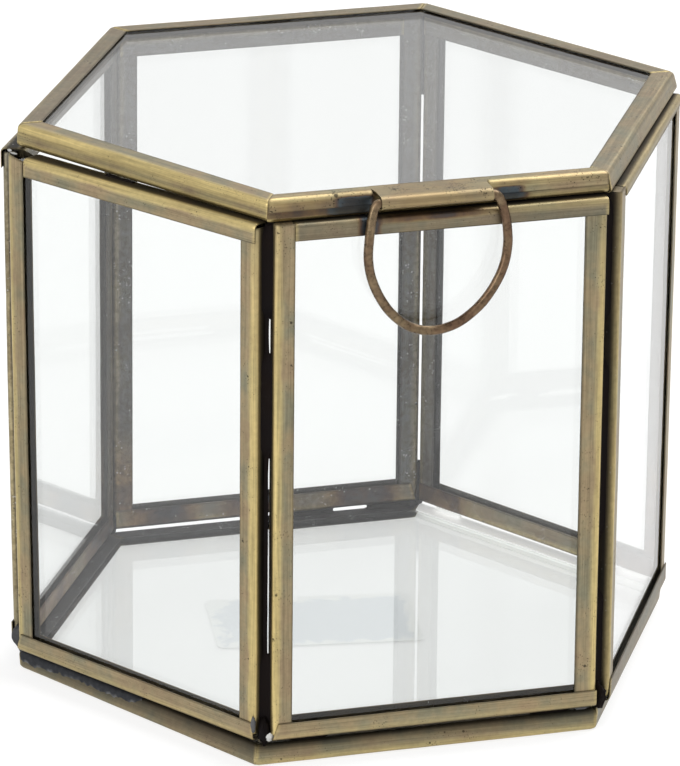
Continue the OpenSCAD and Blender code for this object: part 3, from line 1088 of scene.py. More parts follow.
def bevelled_block(low, high, bevel):
    """Vertices and faces of a block with bevelled edges."""
    shell = bmesh.new()
    bmesh.ops.create_cube(shell, size=1.0)
    for vertex in shell.verts:
        vertex.co = [a + (b - a) * (c + 0.5) for a, b, c in zip(low, high, vertex.co)]
    bmesh.ops.bevel(shell, geom=shell.edges[:], offset=bevel, segments=2, affect="EDGES", profile=0.5)
    shell.verts.index_update()
    vertices = [tuple(vertex.co) for vertex in shell.verts]
    faces = [tuple(vertex.index for vertex in face.verts) for face in shell.faces]
    shell.free()
    return vertices, faces


# Strips that are covered with bright solder, and how bare and how leaden it is, and its painted glow, which
# lifts it out of its shade
TINNED = ("base_back_right_strip",)
TIN_AND_GLOW = (1.0, 0.0, 0.34)
# How much narrower the outer or upper lips of some strips were cut, in millimetres
NARROW_LIPS = {
    "front_wall_top_strip": 0.85,
    "front_wall_bottom_strip": 0.65,
    "front_wall_left_strip": 0.3,
    "front_left_wall_top_strip": 0.4,
    "front_left_wall_bottom_strip": 0.45,
    "front_left_wall_right_strip": 0.4,
    "front_right_wall_top_strip": 2.3,
    "lid_front_strip": 1.3,
}
# How much narrower the inner lips of some strips were cut, in millimetres
NARROW_INNER_LIPS = {
    "front_wall_right_strip": 0.7,
    "front_wall_bottom_strip": 0.3,
    "front_left_wall_bottom_strip": 0.6,
    "front_right_wall_bottom_strip": 0.8,
}
# How far the tops of some uprights slant down, in millimetres
SLANTED_CUTS = {"front_left_wall_left_strip": 0.9}
# How much further right some top strips start, and how much lower some bottom strips lie, in millimetres
LATE_STARTS = {"front_wall_top_strip": -0.4, "front_left_wall_top_strip": 0.5}
LOW_RAILS = {"front_left_wall_bottom_strip": 0.3}
# How steeply the left end of a bottom strip is cut: this much to the right for 1 up
RAIL_SLANT = 0.28
# How far the lower bends of some strips were forced out and down, in millimetres: first the two at the
# left end, then the two at the right end
FLARES = {
    "lid_front_strip": (0.6, 0.3, 0.3, 0.1),
    "lid_front_right_strip": (0.7, 0.25, 0.7, 0.1),
    "lid_front_left_strip": (0.2, 0.7, 0.2, 0.2),
}
# How far the corners of the base panel are out of place, in millimetres: at the top and at the bottom.
# A corner is at the right end of its side, seen from outside.
BASE_SHIFTS = {
    0: ((0.1, 0.0), (-0.65, -1.5)),
    1: ((0.0, 0.0), (-0.3, 0.0)),
    4: ((-0.2, 0.0), (0.0, 0.0)),
    5: ((-1.4, 0.0), (-2.0, -1.3)),
}
# Kinds of strips whose painted shade and rubbing, with its painted highlight, differ from their neighbours'
ODD_KINDS = {
    "lid_front_right_strip": "lid_pale",
    "base_front_left_strip": "base_dark",
    "base_front_right_strip": "base_pale",
    "front_wall_right_strip": "upright_bare",
    "front_right_wall_left_strip": "upright_dark",
}


def cut_back(name, x, y):
    """How much the lip of a strip is cut back at that height of its section."""
    narrow = NARROW_LIPS if x > 0 else NARROW_INNER_LIPS
    return narrow.get(name, 0.0) * MM * smooth_step((y / LIP_WIDTH - 0.3) / 0.7)


def base_shift(index, right, x):
    """How far the base panel stands from its place: right is 0 to 1 along that side, x the height there."""
    low = smooth_step(0.5 - x / UNDER_DEPTH)
    shift = Vector()
    for corner, share in (((index - 1) % 6, 1 - right), (index, right)):
        top, bottom = BASE_SHIFTS.get(corner, ((0.0, 0.0), (0.0, 0.0)))
        shift += Vector((*top, 0)) * ((1 - low) * share * MM) + Vector((*bottom, 0)) * (low * share * MM)
    return shift


def panel_strip(name, index, edge, bottom, body, seed, brass, material, kind):
    """A mitred strip of the lid or the base panel."""
    out_left, down_left, out_right, down_right = FLARES.get(name, (0.0, 0.0, 0.0, 0.0))

    def place(along, x, y):
        y -= cut_back(name, x, y)
        right = min(1.0, max(0.0, 0.5 + along / (2 * edge * math.tan(HALF_TURN))))
        low = smooth_step(0.5 - x / UNDER_DEPTH) * MM
        y -= low * (out_left + (out_right - out_left) * right) * smooth_step(1.3 - y / LIP_WIDTH)
        x -= low * (down_left + (down_right - down_left) * right)
        shift = base_shift(index, right, x) if kind == "base" else Vector()
        return turned(Vector((along, -edge + y, bottom + UNDER_DEPTH / 2 + x)), index) + shift

    def ends(x, y):
        low = smooth_step(0.5 - x / UNDER_DEPTH) * MM * smooth_step(1.3 - y / LIP_WIDTH)
        left = (edge - y + low * out_left) * math.tan(HALF_TURN) - MITRE_CUT
        right = (edge - y + low * out_right) * math.tan(HALF_TURN) - MITRE_CUT
        return -left, right

    piece = PieceMesh()
    section = channel_section(UNDER_DEPTH, LIP_WIDTH, brass)
    look = look_of(name, ODD_KINDS.get(name, kind), end_rub=0.6)
    sheet_piece(piece, section, brass, place, ends, seed, look)
    if name in TINNED:
        piece.values["metal"] = [TIN_AND_GLOW] * len(piece.vertices)
    return piece.make(name, material, body, "antique_brass", [name])


class CASKET_OT_lid_strips(Operator):
    """Make the six mitred strips round the lid's pane"""

    bl_idname = "casket.lid_strips"
    bl_label = "Lid Strips"

    def execute(self, context):
        brass = context.scene.casket_brass
        material = material_named("Antique brass", antique_brass, brass)
        for index, side in enumerate(SIDES):
            seed = context.scene.casket_stage.seed + 100 + index
            name = f"lid_{side}_strip"
            panel_strip(name, index, LID_EDGE, LID_LOW.z, "lid", seed, brass, material, "lid")
        return {"FINISHED"}


class CASKET_OT_base_strips(Operator):
    """Make the six mitred strips round the base pane, one of them brightly tinned"""

    bl_idname = "casket.base_strips"
    bl_label = "Base Strips"

    def execute(self, context):
        brass = context.scene.casket_brass
        material = material_named("Antique brass", antique_brass, brass)
        tinned = material_named("Tarnished solder", tarnished_solder, brass)
        for index, side in enumerate(SIDES):
            name = f"base_{side}_strip"
            seed = context.scene.casket_stage.seed + 200 + index
            finish = tinned if name in TINNED else material
            panel_strip(name, index, BASE_EDGE, BASE_LOW.z, "box", seed, brass, finish, "base")
        return {"FINISHED"}


def plate_mesh(name, outline, bottom, top, bevel, cuts=1):
    """A flat plate with seamed edges; outline is a list of x, y points, and cuts its parts each way."""
    shell = bmesh.new()
    low = [shell.verts.new((x, y, bottom)) for x, y in outline]
    face = shell.faces.new(low)
    raised = bmesh.ops.extrude_face_region(shell, geom=[face])
    moved = [item for item in raised["geom"] if isinstance(item, bmesh.types.BMVert)]
    bmesh.ops.translate(shell, verts=moved, vec=(0, 0, top - bottom))
    bmesh.ops.bevel(shell, geom=shell.edges[:], offset=bevel, segments=2, affect="EDGES", profile=0.5)
    width, height = (max(point[axis] for point in outline) for axis in (0, 1))
    for step in range(1, cuts):
        share = step / cuts
        upright_cut = ((width * (2 * share - 1), 0, 0), (1, 0, 0))
        level_cut = ((0, height * share, 0), (0, 1, 0))
        for point, normal in (upright_cut, level_cut):
            every = shell.verts[:] + shell.edges[:] + shell.faces[:]
            bmesh.ops.bisect_plane(shell, geom=every, plane_co=point, plane_no=normal)
    mesh = bpy.data.meshes.new(name)
    shell.to_mesh(mesh)
    shell.free()
    return mesh


# Parts that a wall's pane is cut into each way, so that it can lean with the walls
PANE_CUTS = 16


class CASKET_OT_panes(Operator):
    """Make the eight glass panes with seamed edges"""

    bl_idname = "casket.panes"
    bl_label = "Glass Panes"

    def execute(self, context):
        glass = context.scene.casket_glass
        material = material_named("Clear glass", clear_glass, glass)
        upright = [
            (PANE_LOW.x, PANE_LOW.z),
            (PANE_HIGH.x, PANE_LOW.z),
            (PANE_HIGH.x, PANE_HIGH.z),
            (PANE_LOW.x, PANE_HIGH.z),
        ]
        for index, side in enumerate(SIDES):
            name = f"{side}_wall_glass"
            mesh = plate_mesh(name, upright, -PANE_HIGH.y, -PANE_LOW.y, glass.edge_bevel, PANE_CUTS)
            stand = Matrix.Rotation(TURN * index, 4, "Z") @ Matrix.Rotation(math.radians(90), 4, "X")
            mesh.transform(stand)
            for vertex in mesh.vertices:
                vertex.co = settled(vertex.co)
            dress(name, mesh, material, "box", [name], PANE_ANGLE)
        for name, low, high, body in (
            ("lid_glass", LID_PANE_LOW, LID_PANE_HIGH, "lid"),
            ("base_glass", BASE_PANE_LOW, BASE_PANE_HIGH, "box"),
        ):
            corner = high.x
            outline = [(corner * math.cos(TURN * i), corner * math.sin(TURN * i)) for i in range(6)]
            mesh = plate_mesh(name, outline, low.z, high.z, glass.edge_bevel)
            dress(name, mesh, material, body, [name], PANE_ANGLE)
        return {"FINISHED"}


class CASKET_OT_handle_strip(Operator):
    """Make the strip folded over the lid's front edge, with the knuckle rolled from its middle"""

    bl_idname = "casket.handle_strip"
    bl_label = "Handle Strip"

    def execute(self, context):
        brass = context.scene.casket_brass
        handle = context.scene.casket_handle
        material = material_named("Rubbed antique brass", antique_brass, brass, worn=0.1, speck_amount=1.3)
        seed = context.scene.casket_stage.seed + 301
        middle = RING_PIVOT.x
        half = handle.knuckle_length / 2
        shoulder = LID_EDGE - brass.bend_radius
        fold_radius = brass.bend_radius + COVER_HIGH.z - LID_HIGH.z
        fold_height = LID_HIGH.z - brass.bend_radius
        front = shoulder + fold_radius
        inner = LID_EDGE - LIP_WIDTH + NARROW_LIPS["lid_front_strip"] * MM
        left_end = middle - half - handle.notch
        right_end = middle + half + handle.notch

        def place(along, x, y):
            return Vector((along, -x, y))

        def corner(x):
            return min(x, LID_EDGE) * math.tan(HALF_TURN) - MITRE_CUT

        def under(x):
            """How far the strip runs on under the tab, behind the lid's edge."""
            return 0.5 * MM if x < shoulder else 0.0

        def left_ends(x, y):
            return -corner(x), left_end + under(x)

        def right_ends(x, y):
            return right_end - under(x), corner(x)

        def tab_place(along, x, y):
            """Lies a hair above the strip, so that the tab hides it where they overlap."""
            return Vector((along, -x, y + (0.03 * MM if x < shoulder + 0.5 * MM else 0.0)))

        cover = SheetSection()
        cover.run((inner, COVER_HIGH.z), (shoulder, COVER_HIGH.z))
        cover.bend((shoulder, fold_height), fold_radius, 90, 0)
        cover.run((front, fold_height), (front, COVER_LOW.z))
        tab = SheetSection()
        tab.run((inner, COVER_HIGH.z), (shoulder, COVER_HIGH.z))
        tab.run((shoulder, COVER_HIGH.z), (-RING_PIVOT.y, COVER_HIGH.z), 3)
        tab.bend((-RING_PIVOT.y, RING_PIVOT.z), ROLL_RADIUS, 90, -200, 26)

        def tab_ends(x, y):
            reach = half + (handle.notch if x < shoulder + 0.01 * MM else 0.0)
            return middle - reach, middle + reach

        look = look_of("handle_strip")
        tab_look = Look(grey=0.1, rub=(0.25, 0.25), heat=[(-1.7, 16.0, 0.2, 0.0, 3.0)], round_ends=False)
        piece = PieceMesh()
        sheet_piece(piece, cover, brass, place, left_ends, seed, look, 0.5)
        sheet_piece(piece, cover, brass, place, right_ends, seed, look, 0.5)
        sheet_piece(piece, tab, brass, tab_place, tab_ends, seed, tab_look, 0.5)
        piece.make("handle_strip", material, "lid", "antique_brass", ["handle_strip"])
        return {"FINISHED"}


def add_tube(piece, points, radii, sides=20, lump=0.0, seed=0, metal=(0.0, 0.0, 0.0)):
    """Adds a round wire along the points, with its ends closed, to a PieceMesh."""
    vertices, strip = [], []
    travelled = 0.0
    for index, (point, radius) in enumerate(zip(points, radii)):
        before = points[max(0, index - 1)]
        after = points[min(len(points) - 1, index + 1)]
        way = (after - before).normalized()
        across = Vector((0, 1, 0)) if abs(way.y) < 0.9 else Vector((1, 0, 0))
        side = way.cross(across).normalized()
        rise = side.cross(way).normalized()
        travelled += (point - before).length if index else 0.0
        for step in range(sides):
            angle = 2 * math.pi * step / sides
            size = radius * (1 + lump * noise.noise(Vector((travelled / (3 * MM), math.cos(angle), seed))))
            vertices.append(point + side * (size * math.cos(angle)) + rise * (size * math.sin(angle)))
            strip.append((travelled, radius * angle, seed))
    add_tube_faces(piece, vertices, sides, strip=strip, metal=[metal] * len(vertices))


def smooth_path(points, steps):
    """Points on a smooth curve through the given ones, with that many steps between neighbours."""
    path = []
    count = len(points)
    for index in range(count - 1):
        p0 = points[max(0, index - 1)]
        p1 = points[index]
        p2 = points[index + 1]
        p3 = points[min(count - 1, index + 2)]
        for step in range(steps):
            t = step / steps
            path.append(
                0.5
                * (
                    2 * p1
                    + (p2 - p0) * t
                    + (2 * p0 - 5 * p1 + 4 * p2 - p3) * t * t
                    + (3 * p1 - p0 - 3 * p2 + p3) * t * t * t
                )
            )
    path.append(points[-1])
    return path


# The hand-bent ring in its own plane, in millimetres to the right of its pivot and below it
RING_SHAPE = (
    (0.0, 0.0),
    (8.0, 0.0),
    (10.9, 0.05),
    (11.9, 0.45),
    (12.65, 1.6),
    (13.4, 3.9),
    (14.0, 7.0),
    (14.1, 10.3),
    (13.5, 14.0),
    (11.9, 17.7),
    (9.3, 21.3),
    (6.0, 24.1),
    (2.4, 25.65),
    (-1.3, 25.9),
    (-5.1, 24.7),
    (-8.6, 21.7),
    (-11.1, 17.9),
    (-12.6, 14.0),
    (-13.1, 10.4),
    (-12.95, 7.0),
    (-12.6, 3.8),
    (-12.2, 1.6),
    (-11.65, 0.45),
    (-10.8, 0.05),
    (-8.0, 0.0),
    (0.0, 0.0),
)


class CASKET_OT_ring(Operator):
    """Make the ring of wire that hangs in the knuckle"""

    bl_idname = "casket.ring"
    bl_label = "Ring"

    def execute(self, context):
        handle = context.scene.casket_handle
        brass = context.scene.casket_brass
        material = material_named("Browned brass wire", browned_wire, handle, brass)
        points = [RING_PIVOT + Vector((x * MM, 0, -down * MM)) for x, down in RING_SHAPE]
        piece = PieceMesh()
        path = smooth_path(points, 8)
        add_tube(piece, path, [WIRE_RADIUS] * len(path), lump=0.05, seed=3)
        piece.make("handle_ring", material, "ring", "copper_wire", ["handle_ring"])
        return {"FINISHED"}


class CASKET_OT_hinge(Operator):
    """Make the rolled straps of the hinge and its pin"""

    bl_idname = "casket.hinge"
    bl_label = "Hinge"

    def execute(self, context):
        brass = context.scene.casket_brass
        handle = context.scene.casket_handle
        material = material_named("Antique brass", antique_brass, brass)
        self.lid_strap(brass, material)
        self.box_strap("hinge_left_strap", brass, material)
        self.box_strap("hinge_right_strap", brass, material)
        self.pin(material_named("Browned brass wire", browned_wire, handle, brass))
        return {"FINISHED"}

    def lid_strap(self, brass, material):
        """The strap that is folded over the lid's back edge and rolled round the pin's middle."""
        low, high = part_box("hinge_lid_strap")
        out, rise = HINGE_PIVOT.yz
        face = low.y + brass.thickness
        fold = 0.4 * MM
        section = SheetSection()
        section.run((face, high.z), (face, rise + ROLL_RADIUS + fold))
        section.bend((face + fold, rise + ROLL_RADIUS + fold), fold, 180, 270, 5)
        section.run((face + fold, rise + ROLL_RADIUS), (out, rise + ROLL_RADIUS), 2)
        section.bend((out, rise), ROLL_RADIUS, 90, -200, 26)
        look = look_of("lid_back_strip")
        self.strap("hinge_lid_strap", section, low, high, brass, material, "lid", 401, look, 44)

    def box_strap(self, name, brass, material):
        """A strap that stands on the back wall and is rolled round an end of the pin."""
        low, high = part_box(name)
        out, rise = HINGE_PIVOT.yz
        section = SheetSection()
        section.run((out - ROLL_RADIUS, low.z), (out - ROLL_RADIUS, rise))
        section.bend((out, rise), ROLL_RADIUS, 180, -110, 26)
        look = look_of("back_wall_top_strip")
        self.strap(name, section, low, high, brass, material, "box", 402, look, 20)

    def strap(self, name, section, low, high, brass, material, body, seed, look, count):
        """A rolled strap as wide as its box in the frame."""

        def place(along, x, y):
            return Vector((-along, x, y))

        def ends(x, y):
            return -high.x, -low.x

        piece = PieceMesh()
        sheet_piece(piece, section, brass, place, ends, seed, look, 0.3, count)
        piece.make(name, material, body, "antique_brass", [name])

    def pin(self, material):
        """The wire, with a small hammered head at each end."""
        head = 0.6 * MM
        rim = (PIN_HIGH.z - PIN_LOW.z) / 2
        profile = [(0.0, 0.55 * rim), (0.25 * head, 0.95 * rim), (0.8 * head, rim), (head, WIRE_RADIUS)]
        profile = [(PIN_LOW.x + x, size) for x, size in profile]
        profile += [(-x, size) for x, size in reversed(profile)]
        sides = 24
        vertices = []
        for x, size in profile:
            for step in range(sides):
                angle = 2 * math.pi * step / sides
                vertices.append(HINGE_PIVOT + Vector((x, size * math.cos(angle), size * math.sin(angle))))
        piece = PieceMesh()
        add_tube_faces(piece, vertices, sides)
        piece.make("hinge_pin", material, "box", "copper_wire", ["hinge_pin"])


# Solder in the grooves: at each corner, lengths given as distances down from the wall tops, in millimetres.
# A corner is at the right end of its side, seen from outside.
SEAM_RUNS = {
    "front": [(0.5, 26.0), (33.0, 70.0), (80.0, 102.6)],
    "front_right": [(0.5, 12.0), (44.0, 60.0), (93.0, 102.6)],
    "back_right": [(0.5, 17.5), (95.0, 102.6)],
    "back": [(0.5, 20.0), (40.0, 66.0), (84.0, 102.6)],
    "back_left": [(0.5, 14.0), (42.0, 62.0), (90.0, 102.6)],
    "front_left": [(0.5, 19.2), (26.0, 47.0), (86.6, 102.6)],
}
# How much of the open slit a film of solder has closed, from its left side
SLIT_FILM = {"front": 1.0, "back_right": 0.3, "front_left": 0.7}
# Pads between the base and the walls: how far in from the corners, and their half lengths and widths
PAD_INSET = 8.0 * MM
PAD_HALF_LENGTH = 4.0 * MM
PAD_HALF_WIDTH = 0.9 * MM
# Pads under the back wall: their places along it and half lengths, in millimetres
BACK_PADS = ((10.3, 4.4), (26.0, 5.5))
# Blobs at the corners: how far out of the groove and how high their middles are, and their radii, in
# millimetres; the one at the far left is leaden, and broader by as much
BLOB_OUT = 1.7
BLOB_HEIGHT = 6.6
BLOB_RADII = (2.3, 1.1, 2.8)
LEADEN_BLOBS = {4: 0.6}
# Single drops: their middles and radii in millimetres, how bare and how leaden they are, and their seeds
DROPS = (
    ((-32.75, -59.0, 5.7), (0.95, 0.5, 0.8), (1.0, 0.0), 21),
    ((-35.6, -58.0, 8.2), (0.5, 0.6, 1.7), (0.12, 0.9), 24),
    ((29.9, -58.1, 4.42), (1.2, 0.35, 0.4), (0.12, 0.8), 22),
    ((31.4, 56.1, 4.45), (1.3, 0.6, 0.75), (0.0, 0.3), 25),
    ((5.0, 57.9, 4.45), (3.0, 0.8, 0.95), (0.0, 0.0), 27),
)
# Beads under the lid's edge: their sides, starts, stops and radii, in millimetres
GAP_BEADS = ((0, -33.0, 33.0, 0.5), (5, -8.6, -1.6, 0.55))
# Bright drops at the left end of the front left wall's top: how far along it and how far out from the
# lid's edge, their radii, in millimetres, and their seeds
BRIGHT_DROPS = (
    (-31.0, 1.2, (0.9, 0.28, 0.2), 31),
    (-33.0, 0.4, (0.5, 0.3, 0.25), 33),
)


def add_lump(piece, middle, radii, metal, seed, turn=0.0):
    """Adds an uneven blob; metal is how bare and how leaden it is."""
    rings, sides = 10, 18
    vertices = []
    for ring in range(rings + 1):
        rise = math.pi * ring / rings
        for step in range(sides):
            angle = 2 * math.pi * step / sides
            flat = math.sin(rise)
            way = Vector((flat * math.cos(angle), flat * math.sin(angle), math.cos(rise)))
            size = 1 + 0.35 * noise.noise(way * 1.7 + Vector((seed, 2.0 * seed, 0.0)))
            point = Vector((way.x * radii[0], way.y * radii[1], way.z * radii[2])) * (size * MM)
            vertices.append(Vector(middle) * MM + Matrix.Rotation(turn, 3, "Z") @ point)
    add_tube_faces(piece, vertices, sides, metal=[(*metal, 0.0)] * len(vertices))


def add_tube_faces(piece, vertices, sides, **values):
    """Adds rings of vertices, joined to each other and closed at both ends."""
    rings = len(vertices) // sides
    faces = [tuple(reversed(range(sides))), tuple(range((rings - 1) * sides, rings * sides))]
    for ring in range(rings - 1):
        first = ring * sides
        for step in range(sides):
            after = (step + 1) % sides
            faces.append((first + step, first + after, first + sides + after, first + sides + step))
    piece.add(vertices, faces, **values)


class CASKET_OT_solder(Operator):
    """Make the solder in the corner grooves, under the walls and under the lid's front edges"""

    bl_idname = "casket.solder"
    bl_label = "Solder"

    def execute(self, context):
        brass = context.scene.casket_brass
        material = material_named("Tarnished solder", tarnished_solder, brass)
        seams = PieceMesh()
        for index, side in enumerate(SIDES):
            for run, (top, bottom) in enumerate(SEAM_RUNS[side]):
                low, high = WALL_TOP - bottom * MM, WALL_TOP - top * MM
                self.seam(seams, index, low, high, brass, 10 * index + run, 1.0)
            film = 2 * SLIT_FILM.get(side, 0.0) - 1
            if film > -1:
                self.seam(seams, index, WALL_BOTTOM + MM, WALL_TOP - MM, brass, 70 + index, film, 0.3)
        seams.settle().make("seam_solder", material, "box", "dark_solder", ["seam_solder"], SOLDER_ANGLE)
        pads = PieceMesh()
        for index, side in enumerate(SIDES):
            inset = WALL_HALF - PAD_INSET
            places = [(-inset, PAD_HALF_LENGTH), (inset, PAD_HALF_LENGTH)]
            if side == "back":
                places = [(-along * MM, half * MM) for along, half in BACK_PADS]
            for along, half in places:
                self.pad(pads, index, along, half)
        pads.make("base_solder", material, "box", "dark_solder", ["base_solder"], SOLDER_ANGLE)
        self.lumps(material)
        self.gap_bead(material)
        self.crust(brass, material)
        return {"FINISHED"}

    def seam(self, piece, index, bottom, top, brass, seed, right, deep=1.0):
        """A bead in the groove's bottom, with a hollow face and feathered ends.

        It fills the groove from its left side, at -1, to right, which is 1 at its right side.
        """
        start = WALL_HALF * math.sin(HALF_TURN) + (WALL_BACK + brass.bend_radius) * math.cos(HALF_TURN)
        depth = 1.1 * MM * deep
        stations = max(8, int((top - bottom) / (0.9 * MM)))
        across = 7
        turn = Matrix.Rotation(TURN * (index - 1), 3, "Z")
        vertices = []
        for station in range(stations + 1):
            share = station / stations
            height = bottom + (top - bottom) * share
            full = 0.35 + 0.65 * smooth_step(min(share, 1 - share) * (top - bottom) / (2.5 * MM))
            lump = 0.14 * MM * deep * wander(height, seed, 3 * MM)
            stray = 0.35 * wander(height, seed + 5, 6 * MM) if right < 1 else 0.0
            for row, out in ((0, start), (1, start + depth * full + lump)):
                half = (out * math.sin(HALF_TURN) - WALL_HALF) / math.cos(HALF_TURN) - 0.02 * MM
                order = range(across) if row == 0 else reversed(range(across))
                for step in order:
                    side = (min(1.0, right + stray) + 1) * step / (across - 1) - 1
                    hollow = row * 0.22 * MM * deep * (1 - side * side)
                    vertices.append(turn @ Vector((out - hollow, half * side, height)))
        add_tube_faces(piece, vertices, 2 * across)

    def pad(self, piece, index, along, half):
        """A squashed drop of solder between the base and a wall."""
        middle = Vector((along, -(BASE_EDGE + WALL_MID - OVER_DEPTH / 2) / 2, 0))
        sides = 28
        vertices = []
        for share, waist in ((0.0, 1.0), (0.3, 0.86), (0.7, 0.86), (1.0, 1.0)):
            for step in range(sides):
                angle = 2 * math.pi * step / sides
                place = Vector((math.cos(angle), math.sin(angle), index + along / (9 * MM)))
                size = waist * (1 + 0.12 * noise.noise(place))
                x = half * math.copysign(abs(place.x) ** 0.7, place.x) * size
                y = PAD_HALF_WIDTH * place.y * size
                point = middle + Vector((x, y, PAD_LOW.z + (PAD_HIGH.z - PAD_LOW.z) * share))
                vertices.append(turned(point, index))
        # The pads under the far right wall are tinned and glow with painted light.
        metal = TIN_AND_GLOW if SIDES[index] == "back_right" else (0.0, 0.0, 0.0)
        add_tube_faces(piece, vertices, sides, metal=[metal] * len(vertices))

    def lumps(self, material):
        """Blobs between the ends of the bottom strips, and single drops that close parts of the slits."""
        out = (WALL_HALF * math.sin(HALF_TURN) + WALL_BACK * math.cos(HALF_TURN)) / MM + BLOB_OUT
        length, width, height = BLOB_RADII
        piece = PieceMesh()
        for index in range(6):
            angle = TURN * index + HALF_TURN - math.radians(90)
            middle = (math.cos(angle) * out, math.sin(angle) * out, BLOB_HEIGHT)
            leaden = LEADEN_BLOBS.get(index, 0.0)
            radii = (length, width + leaden, height)
            add_lump(piece, middle, radii, (0.1 * leaden, leaden), index + 1, angle)
        for middle, radii, metal, seed in DROPS:
            add_lump(piece, middle, radii, metal, seed)
        piece.settle().make("corner_solder", material, "box", "dark_solder", (), SOLDER_ANGLE)

    def gap_bead(self, material):
        """Old solder on top of the front walls, under the lid's edge."""
        piece = PieceMesh()
        for index, start, stop, size in GAP_BEADS:
            points = []
            count = 40
            for step in range(count + 1):
                along = (start + (stop - start) * step / count) * MM
                out = LID_EDGE - 0.9 * MM + 0.1 * MM * wander(along, 77, 6 * MM)
                points.append(turned(Vector((along, -out, WALL_TOP - 0.25 * MM)), index))
            radii = [size * MM * (1 + 0.1 * wander(step / count, 79, 0.05)) for step in range(count + 1)]
            add_tube(piece, points, radii, 12, 0.05, 5)
        for along, out, radii, seed in BRIGHT_DROPS:
            spot = Vector((along * MM, -LID_EDGE - out * MM, WALL_TOP + 0.05 * MM))
            add_lump(piece, turned(spot, 5) / MM, radii, (0.5, 0.5), seed, -TURN)
        piece.settle().make("gap_solder", material, "box", "dark_solder", (), SOLDER_ANGLE)

    def crust(self, brass, material):
        """Torn crust of old solder over the upper bend of the base's left front strip."""
        section = channel_section(UNDER_DEPTH, LIP_WIDTH, brass)
        start, stop = -33.0 * MM, 1.5 * MM
        columns, rows = 130, 9
        first = section.bends[0] - 1.6 * MM
        vertices, metal = [], []
        for layer in (0, 1):
            for column in range(columns + 1):
                along = start + (stop - start) * column / columns
                ragged = 1.0 + 0.3 * wander(along, 41, 7 * MM) + 0.25 * wander(along, 43, 1.9 * MM)
                ragged += 0.3 * wander(along, 45, 0.7 * MM)
                ragged += 0.5 * smooth_step((-20 * MM - along) / (10 * MM))
                ragged *= smooth_step((stop - along) / (3 * MM)) ** 0.5
                last = section.bends[0] + max(0.15, ragged) * 1.35 * MM
                patch = smooth_step(0.3 + 1.5 * wander(along, 47, 1.7 * MM))
                for row in range(rows + 1):
                    across = first + (last - first) * row / rows
                    x, y, normal_x, normal_y = section_place(section, across)
                    skin = 0.13 * MM * (1 + 0.8 * noise.noise(Vector((along * 900, across * 900, 3.0))))
                    lift = skin * smooth_step(min(row, rows - row) / 1.3) * layer - 0.02 * MM
                    x, y = x + normal_x * lift, y + normal_y * lift
                    right = 0.5 + along / (2 * BASE_EDGE * math.tan(HALF_TURN))
                    spot = Vector((along, -BASE_EDGE + y, BASE_LOW.z + UNDER_DEPTH / 2 + x))
                    vertices.append(turned(spot, 5) + base_shift(5, right, x))
                    torn = smooth_step((row - rows + 1.6) / 1.2) * patch
                    metal.append((0.22 * torn, 0.9, 0.0))
        piece = PieceMesh()
        piece.add(vertices, two_skins(columns, rows), metal=metal)
        piece.make("base_crust", material, "box", "dark_solder", (), SOLDER_ANGLE)


def section_place(section, across):
    """The point and the normal of a section's outer face at a distance across it."""
    for first, second in zip(section.points, section.points[1:]):
        if across <= second[4]:
            share = (across - first[4]) / (second[4] - first[4])
            return [a + (b - a) * share for a, b in zip(first[:4], second[:4])]
    return section.points[-1][:4]


# How far the sticker was stuck on askew, in degrees
LABEL_TURN = -9


class CASKET_OT_label(Operator):
    """Make the blank sticker under the base pane"""

    bl_idname = "casket.label"
    bl_label = "Blank Sticker"

    def execute(self, context):
        turn = math.radians(LABEL_TURN)
        span_x = LABEL_HIGH.x - LABEL_LOW.x
        span_y = LABEL_HIGH.y - LABEL_LOW.y
        cos, sin = math.cos(turn), abs(math.sin(turn))
        length = (span_x * cos - span_y * sin) / (cos * cos - sin * sin)
        width = (span_y * cos - span_x * sin) / (cos * cos - sin * sin)
        middle = (LABEL_LOW + LABEL_HIGH) / 2
        middle.z = 0.0
        stand = Matrix.Translation(middle) @ Matrix.Rotation(turn, 4, "Z")
        columns, rows = 42, 26
        vertices, form = [], []
        for layer in (0, 1):
            for row in range(rows + 1):
                for column in range(columns + 1):
                    x = (column / columns - 0.5) * length
                    y = (row / rows - 0.5) * width
                    x, y = self.round_corner(x, y, length / 2, width / 2, 1.2 * MM)
                    margin = min(length / 2 - abs(x), width / 2 - abs(y))
                    lift = LABEL_LOW.z + (0.04 + 0.05 * layer) * MM
                    lift += 0.02 * MM * noise.noise(Vector((x * 260, y * 260, 2.0)))
                    vertices.append(stand @ Vector((x, y, lift)))
                    form.append((margin, 0.0, 0.0))
        piece = PieceMesh()
        piece.add(vertices, two_skins(rows, columns), form=form)
        paper = material_named("Blank sticker", sticker_paper)
        piece.make("base_label", paper, "box", "label_paper", ["base_label"])
        return {"FINISHED"}

    def round_corner(self, x, y, half_x, half_y, radius):
        """Pulls the points beyond a rounded corner back onto it."""
        over_x = abs(x) - (half_x - radius)
        over_y = abs(y) - (half_y - radius)
        if over_x <= 0 or over_y <= 0:
            return x, y
        size = math.hypot(over_x, over_y)
        if size <= radius:
            return x, y
        x = math.copysign(half_x - radius + over_x / size * radius, x)
        y = math.copysign(half_y - radius + over_y / size * radius, y)
        return x, y


# ---- The stage ----

# The longer side of the camera's sensor, in millimetres
SENSOR_SIZE = 36.0


